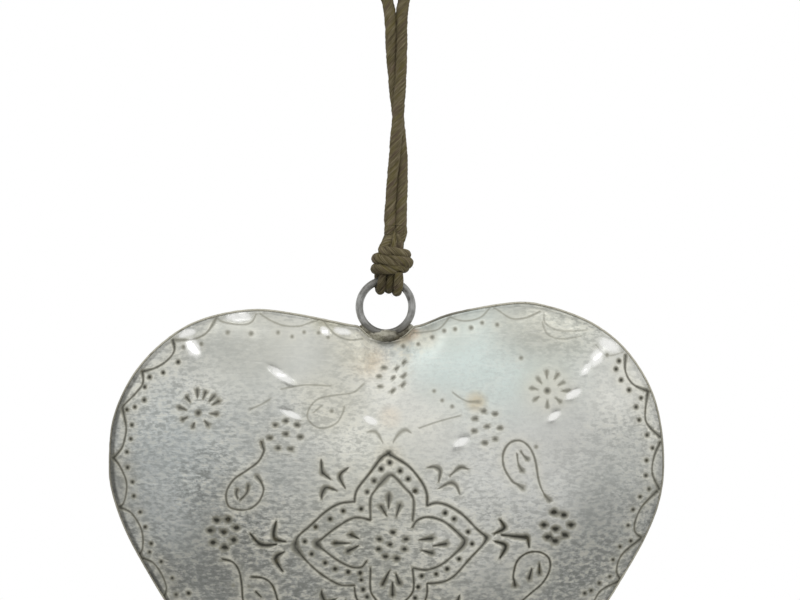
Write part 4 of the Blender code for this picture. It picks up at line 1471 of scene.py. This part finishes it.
juteTones = {
    "deep": tone(34, 28, 12),
    "dark": tone(62, 54, 34),
    "middle": tone(92, 84, 60),
    "light": tone(134, 124, 98),
    "purple": tone(86, 68, 62),
    "olive": tone(94, 86, 40),
    "strands": (0.42 * mm, 3.0, 0.6, (1.0, 1.0, 0.10)),
    "hue": (1.3 * mm, 2.0, 0.5, (1.0, 1.0, 0.22)),
    "hair": (0.11 * mm, 2.0, 0.6, (1.0, 1.0, 0.06)),
    "cloud": (6 * mm, 3.0, 0.6),
    "patches": (0.52, 0.66),  # from and to which value the hue counts
    "patchAmount": 0.45,
    "shadedGrooves": (0.82, 0.98),  # crest, as a share of the twine's radius, over which the painted shade in the grooves between the plies fades out
    "dirtAndShadeFoot": (3 * mm, 8.5 * mm),
    "specular": 0.25,
    "relief": 0.10 * mm,
}


def jute(name):
    made, tree, where = newFinish(name)
    tones = juteTones
    straight = attribute(tree, "straight", "Vector")
    crest = attribute(tree, "crest")
    strands, hue, hair = (noiseOn(straight, *tones[label]) for label in ("strands", "hue", "hair"))
    cloud = noiseOn(where, *tones["cloud"])
    # darker near the ring, where the knot and the turns sit: dirt and painted shade
    foot = 1 - distanceFrom(where, tuple(swingAxis)).ramp(*tones["dirtAndShadeFoot"])
    colour = colourRamp(strands * 0.62 + hair * 0.28 + cloud * 0.1,
                        (0.34, tones["dark"]), (0.48, tones["middle"]), (0.62, tones["light"]))
    colour = layered(
        colour,
        (hue.ramp(*tones["patches"]) * tones["patchAmount"], tones["purple"]),
        ((1 - hue).ramp(*tones["patches"]) * tones["patchAmount"], tones["olive"]),
        # painted shade in the grooves between the plies
        ((1 - crest.ramp(*tones["shadedGrooves"])) * 0.66, tones["deep"]),
        (foot * 0.55, tones["deep"]),
    )
    return finished(made, {
        "Base Color": colour,
        "Metallic": 0.0,
        "Roughness": 0.82 + hair * 0.15,
        "Specular IOR Level": tones["specular"],
        "Normal": bumped(strands * 0.7 + hair * 0.3, tones["relief"]),
    })


juteFinish = jute("jute_fibres")
route = loopLine()
loopPart, lastWay = twinePart(route, cord["diameter"], 1, None, loopFullness, cord["loopLay"])
wrapPart, _ = twinePart(wrapLine(), cord["diameter"], 2, None, loopFullness)
legPart, _ = twinePart(rightLegLine(), cord["diameter"], 3, lastWay, loopFullness)
turnsPart, _ = twinePart(turnsLine(), cord["tight"], 4)


def makeTwine(name, part):
    points, faces, straight, crest = part
    made = makePiece(name, points, faces, juteFinish, {"straight": straight, "crest": crest})
    # flat ends, so that they don't darken the twine beside them where two lengths meet
    made.data.polygons.foreach_set("use_smooth", [len(face) == 4 for face in faces])
    return made


twineKnot = makeTwine("twine_knot", joined([wrapPart, legPart, knotCore()]))
twineTurns = makeTwine("twine_turns", turnsPart)
twineLoop = makeTwine("twine_loop", loopPart)

for piece, node in ((twineKnot, "cord_knot"), (twineTurns, "ring_turns")):
    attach(piece, "knot")
    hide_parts(node)
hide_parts("hanging_loop")
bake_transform(twineLoop)
print("stage: twine, loop length", round(lineLength(route), 4))


def tubeRing(name, line, halfWide, halfDeep, around, finish, seed, uneven):
    # a closed bead that follows a closed line in the heart's plane
    spacing = np.linalg.norm(line[1] - line[0])
    grain = 1.8 * mm
    vertices, straight = [], []
    for i, ((x, z), (alongX, alongZ)) in enumerate(zip(line, alongLoop(line))):
        for k in range(around):
            angle = math.tau * k / around
            swell = 1 + uneven * noise.noise(Vector((x / grain, k / around * 2, z / grain + seed)))
            wide, deep = halfWide * swell * math.cos(angle), halfDeep * swell * math.sin(angle)
            vertices.append((x - alongZ * wide, deep, z + alongX * wide))
            straight.append((wide, deep, i * spacing))
    faces = tubeFaces(len(line), around, closed=True)
    return makePiece(name, vertices, faces, finish, {"straight": straight})


rimLook = {
    "halfDeep": heart["sheet"] + heart["gap"] / 2,
    "around": 12,
    "uneven": 0.16,
    "bias": 0.22,
    # darkPlaces paint the bead darker on the left, lower left and right, as shade where the rim turns away
    # from the light, and at one place on the top right of the cleft
    "darkPlaces": ((110, 440, 75, 0.45), (660, 480, 90, 0.30), (130, 560, 60, 0.35), (447, 316, 30, 0.55)),
}
ringLook = {
    "wider": 0.0002,  # the ring's radius and place beside the part's own
    "shift": -0.0003,
    "points": 192,
    "around": 32,
    "uneven": 0.018,
}
rimBead = tubeRing("rim_bead", outline, heart["seam"] / 2, rimLook["halfDeep"], rimLook["around"],
                   darkBraze("rim_braze", rimLook["bias"], rimLook["darkPlaces"]), 3, rimLook["uneven"])
wideRadius = ringRadius + ringLook["wider"]
turns = np.arange(ringLook["points"]) * math.tau / ringLook["points"]
circle = wideRadius * np.stack([np.sin(turns), np.cos(turns) - 1], 1)
circle += swingAxis[[0, 2]] + (ringLook["shift"], 0)
ringWire = tubeRing("ring_wire", circle, ring["wire"] / 2, ring["wire"] / 2, ringLook["around"],
                    wornSteel("ring_steel"), 9, ringLook["uneven"])


brazeLump = {
    "rows": 40,
    "around": 64,
    "uneven": ((0.13, 1.92), (0.06, 4.96)),  # share of the size, and how often it changes
}
brazeFillet = {
    "reach": 54,  # degrees to each side of the ring's foot
    "from": -0.0003,  # from inside the ring's outer edge
    "to": 0.0019,  # to the heart's rim
    "deep": (0.0032, 0.0012),  # at the foot and at the ends
    "rows": 90,
    "around": 20,
    "uneven": ((0.22, 1.0), (0.10, 2.7)),
    "thin": (0.02, 5),  # thickness left at its ends, and how late it fades
    "tight": 0.4,  # least share of its width
}


def unevenAt(spot, waves):
    return 1 + sum(share * noise.noise(spot * often) for share, often in waves)


def makeFillet(name, finish):
    # braze that has run out along the cleft, between the ring and the rim
    low, high = (ring["outer"] / 2 + brazeFillet[end] for end in ("from", "to"))
    rows, around = brazeFillet["rows"], brazeFillet["around"]
    (least, late), tight = brazeFillet["thin"], brazeFillet["tight"]
    vertices = []
    for t in np.linspace(-1, 1, rows):
        angle = math.radians(brazeFillet["reach"]) * t
        out = np.array((math.sin(angle), 0, -math.cos(angle)))
        fade = math.sqrt(max(0.0, 1 - abs(t) ** late)) * (1 - least) + least
        centre = swingAxis - (0, 0, ringRadius) + out * (low + high) / 2
        deep = brazeFillet["deep"][0] * (1 - abs(t)) + brazeFillet["deep"][1] * abs(t)
        for turn in np.arange(around) * math.tau / around:
            spot = Vector((angle * 6, math.cos(turn) * 0.9, math.sin(turn) * 0.9))
            swell = unevenAt(spot, brazeFillet["uneven"]) * fade
            vertices.append(centre + out * (high - low) / 2 * math.cos(turn) * (tight + (1 - tight) * fade)
                            + np.array((0, deep / 2 * math.sin(turn) * swell, 0)))
    return makePiece(name, vertices, tubeFaces(rows, around, flipped=True), finish)


def makeBraze(finish):
    # a lump that has run round the ring's foot and onto the rim
    rows, around = brazeLump["rows"], brazeLump["around"]
    size = np.array(ring["braze"]) / 2
    centre = swingAxis - (0, 0, 2 * ringRadius + ring["wire"] / 2)
    vertices = []
    for i in range(1, rows):
        out, up = math.sin(math.pi * i / rows), math.cos(math.pi * i / rows)
        for angle in np.arange(around) * math.tau / around:
            way = np.array((out * math.cos(angle), out * math.sin(angle), up))
            vertices.append(centre + way * size * unevenAt(Vector(way), brazeLump["uneven"]))
    top, last = len(vertices), (rows - 2) * around
    vertices += [centre + (0, 0, size[2]), centre - (0, 0, size[2])]
    faces = tubeFaces(rows - 1, around, ends=False, flipped=True)
    for k in range(around):
        n = (k + 1) % around
        faces += [(top, k, n), (top + 1, last + n, last + k)]
    return makePiece("cleft_braze", vertices, faces, finish)


cleftMetal = darkBraze("cleft_metal", 0.12, ((402, 331, 12, 0.60), (390, 339, 11, 0.72), (367, 334, 9, 0.3)))
cleftBraze = makeBraze(cleftMetal)
cleftFillet = makeFillet("cleft_fillet", cleftMetal)
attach(cleftFillet, "heart")
print("stage: ring, braze and rim")

frontFace = makeFace("front_face", -1, 1.0, silverWash("silver_wash_front", -1))
backFace = makeFace("back_face", 1, 31.0, silverWash("silver_wash_back", 1))

for piece, node, slot in (
    (frontFace, "front_shell", "silver_washed_iron"),
    (backFace, "back_shell", "silver_washed_iron"),
    (rimBead, "rim_seam", "dark_braze"),
    (ringWire, "hanging_ring", "worn_steel"),
    (cleftBraze, "ring_braze", "dark_braze"),
):
    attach(piece, "heart")
    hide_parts(node)


studio = {
    "floorHeight": -0.72,
    "floorRadius": 1.10,
    "floorPoints": 96,
    "floorTone": 0.80,
    "floorWhite": (0.35, 0.99),  # distances over which the camera sees the floor turn white
    "skyTop": 1.02,
    "skyMiddle": 1.10,
    "skyLow": 0.15,
    "skyRise": (-0.36, 0.12),  # from low to middle
    "leftDark": 0.10,
}


def makeFloor():
    count = studio["floorPoints"]
    angles = np.arange(count) * math.tau / count
    edge = studio["floorRadius"] * np.stack([np.cos(angles), np.sin(angles), 0 * angles], 1)
    vertices = np.vstack([np.zeros((1, 3)), edge]) + (0, 0, studio["floorHeight"])
    faces = [(0, 1 + k, 1 + (k + 1) % count) for k in range(count)]
    made, tree, where = newFinish("pale_floor")
    grey = (studio["floorTone"],) * 3 + (1,)
    finished(made, {"Base Color": grey, "Roughness": 0.9, "Specular IOR Level": 0.0})
    shader = Socket(tree, tree.nodes["Principled BSDF"].outputs[0])
    white = addNode(tree, "ShaderNodeEmission", {}, {"Color": (1, 1, 1, 1), "Strength": 1.0})
    seen = addNode(tree, "ShaderNodeLightPath", {}, {}, "Is Camera Ray")
    far = distanceFrom(where, (0, 0, studio["floorHeight"])).ramp(*studio["floorWhite"])
    mixed = addNode(tree, "ShaderNodeMixShader", {}, {0: far * seen, 1: shader, 2: white})
    feed(tree.nodes["Material Output"], {"Surface": mixed})
    floor = makePiece("floor", vertices, faces, made, smooth=False)


def makeSky():
    # paler above, greyer below and to the left; the camera sees plain white, and metal sees it behind
    world = bpy.data.worlds.new("studio")
    bpy.context.scene.world = world
    world.use_nodes = True
    tree = world.node_tree
    across = axisOf(addNode(tree, "ShaderNodeTexCoord", {}, {}, "Generated"), "X")
    back, up = across.of("Y"), across.of("Z")
    low, high = studio["skyRise"]
    level = addNode(tree, "ShaderNodeMapRange", {}, {
        "Value": up, "From Min": low, "From Max": high,
        "To Min": studio["skyLow"], "To Max": studio["skyMiddle"],
    }, "Result")
    level = level + up.ramp(0.1, 0.8) * (studio["skyTop"] - studio["skyMiddle"])
    level = level - (across * -1.0).ramp(0.0, 0.9) * studio["leftDark"]
    path = addNode(tree, "ShaderNodeLightPath", {}, {}, "Is Camera Ray")
    mirror = (path.of("Is Glossy Ray") + path.of("Is Transmission Ray")).clamped()
    white = (path + mirror * back.ramp(-0.1, 0.35)).clamped()
    grey = addNode(tree, "ShaderNodeCombineColor", {}, {0: level, 1: level, 2: level})
    feed(tree.nodes["Background"], {"Color": mixColours(white, grey, (1, 1, 1, 1)), "Strength": 1.0})


def makeLight(name, place, target, size, power):
    data = bpy.data.lights.new(name, "AREA")
    data.shape = "DISK"
    data.size = size
    data.energy = power
    made = addObject(name, data)
    made.location = place
    made.rotation_euler = (Vector(target) - Vector(place)).to_track_quat("-Z", "Y").to_euler()


makeFloor()
makeSky()
heartMiddle = (middle[0], 0, middle[1])
for name, (place, size, power) in lamps.items():
    makeLight("softbox_" + name, place, heartMiddle, size, power)
bpy.context.scene.view_settings.view_transform = "Standard"
print("stage: floor, backdrop and light")
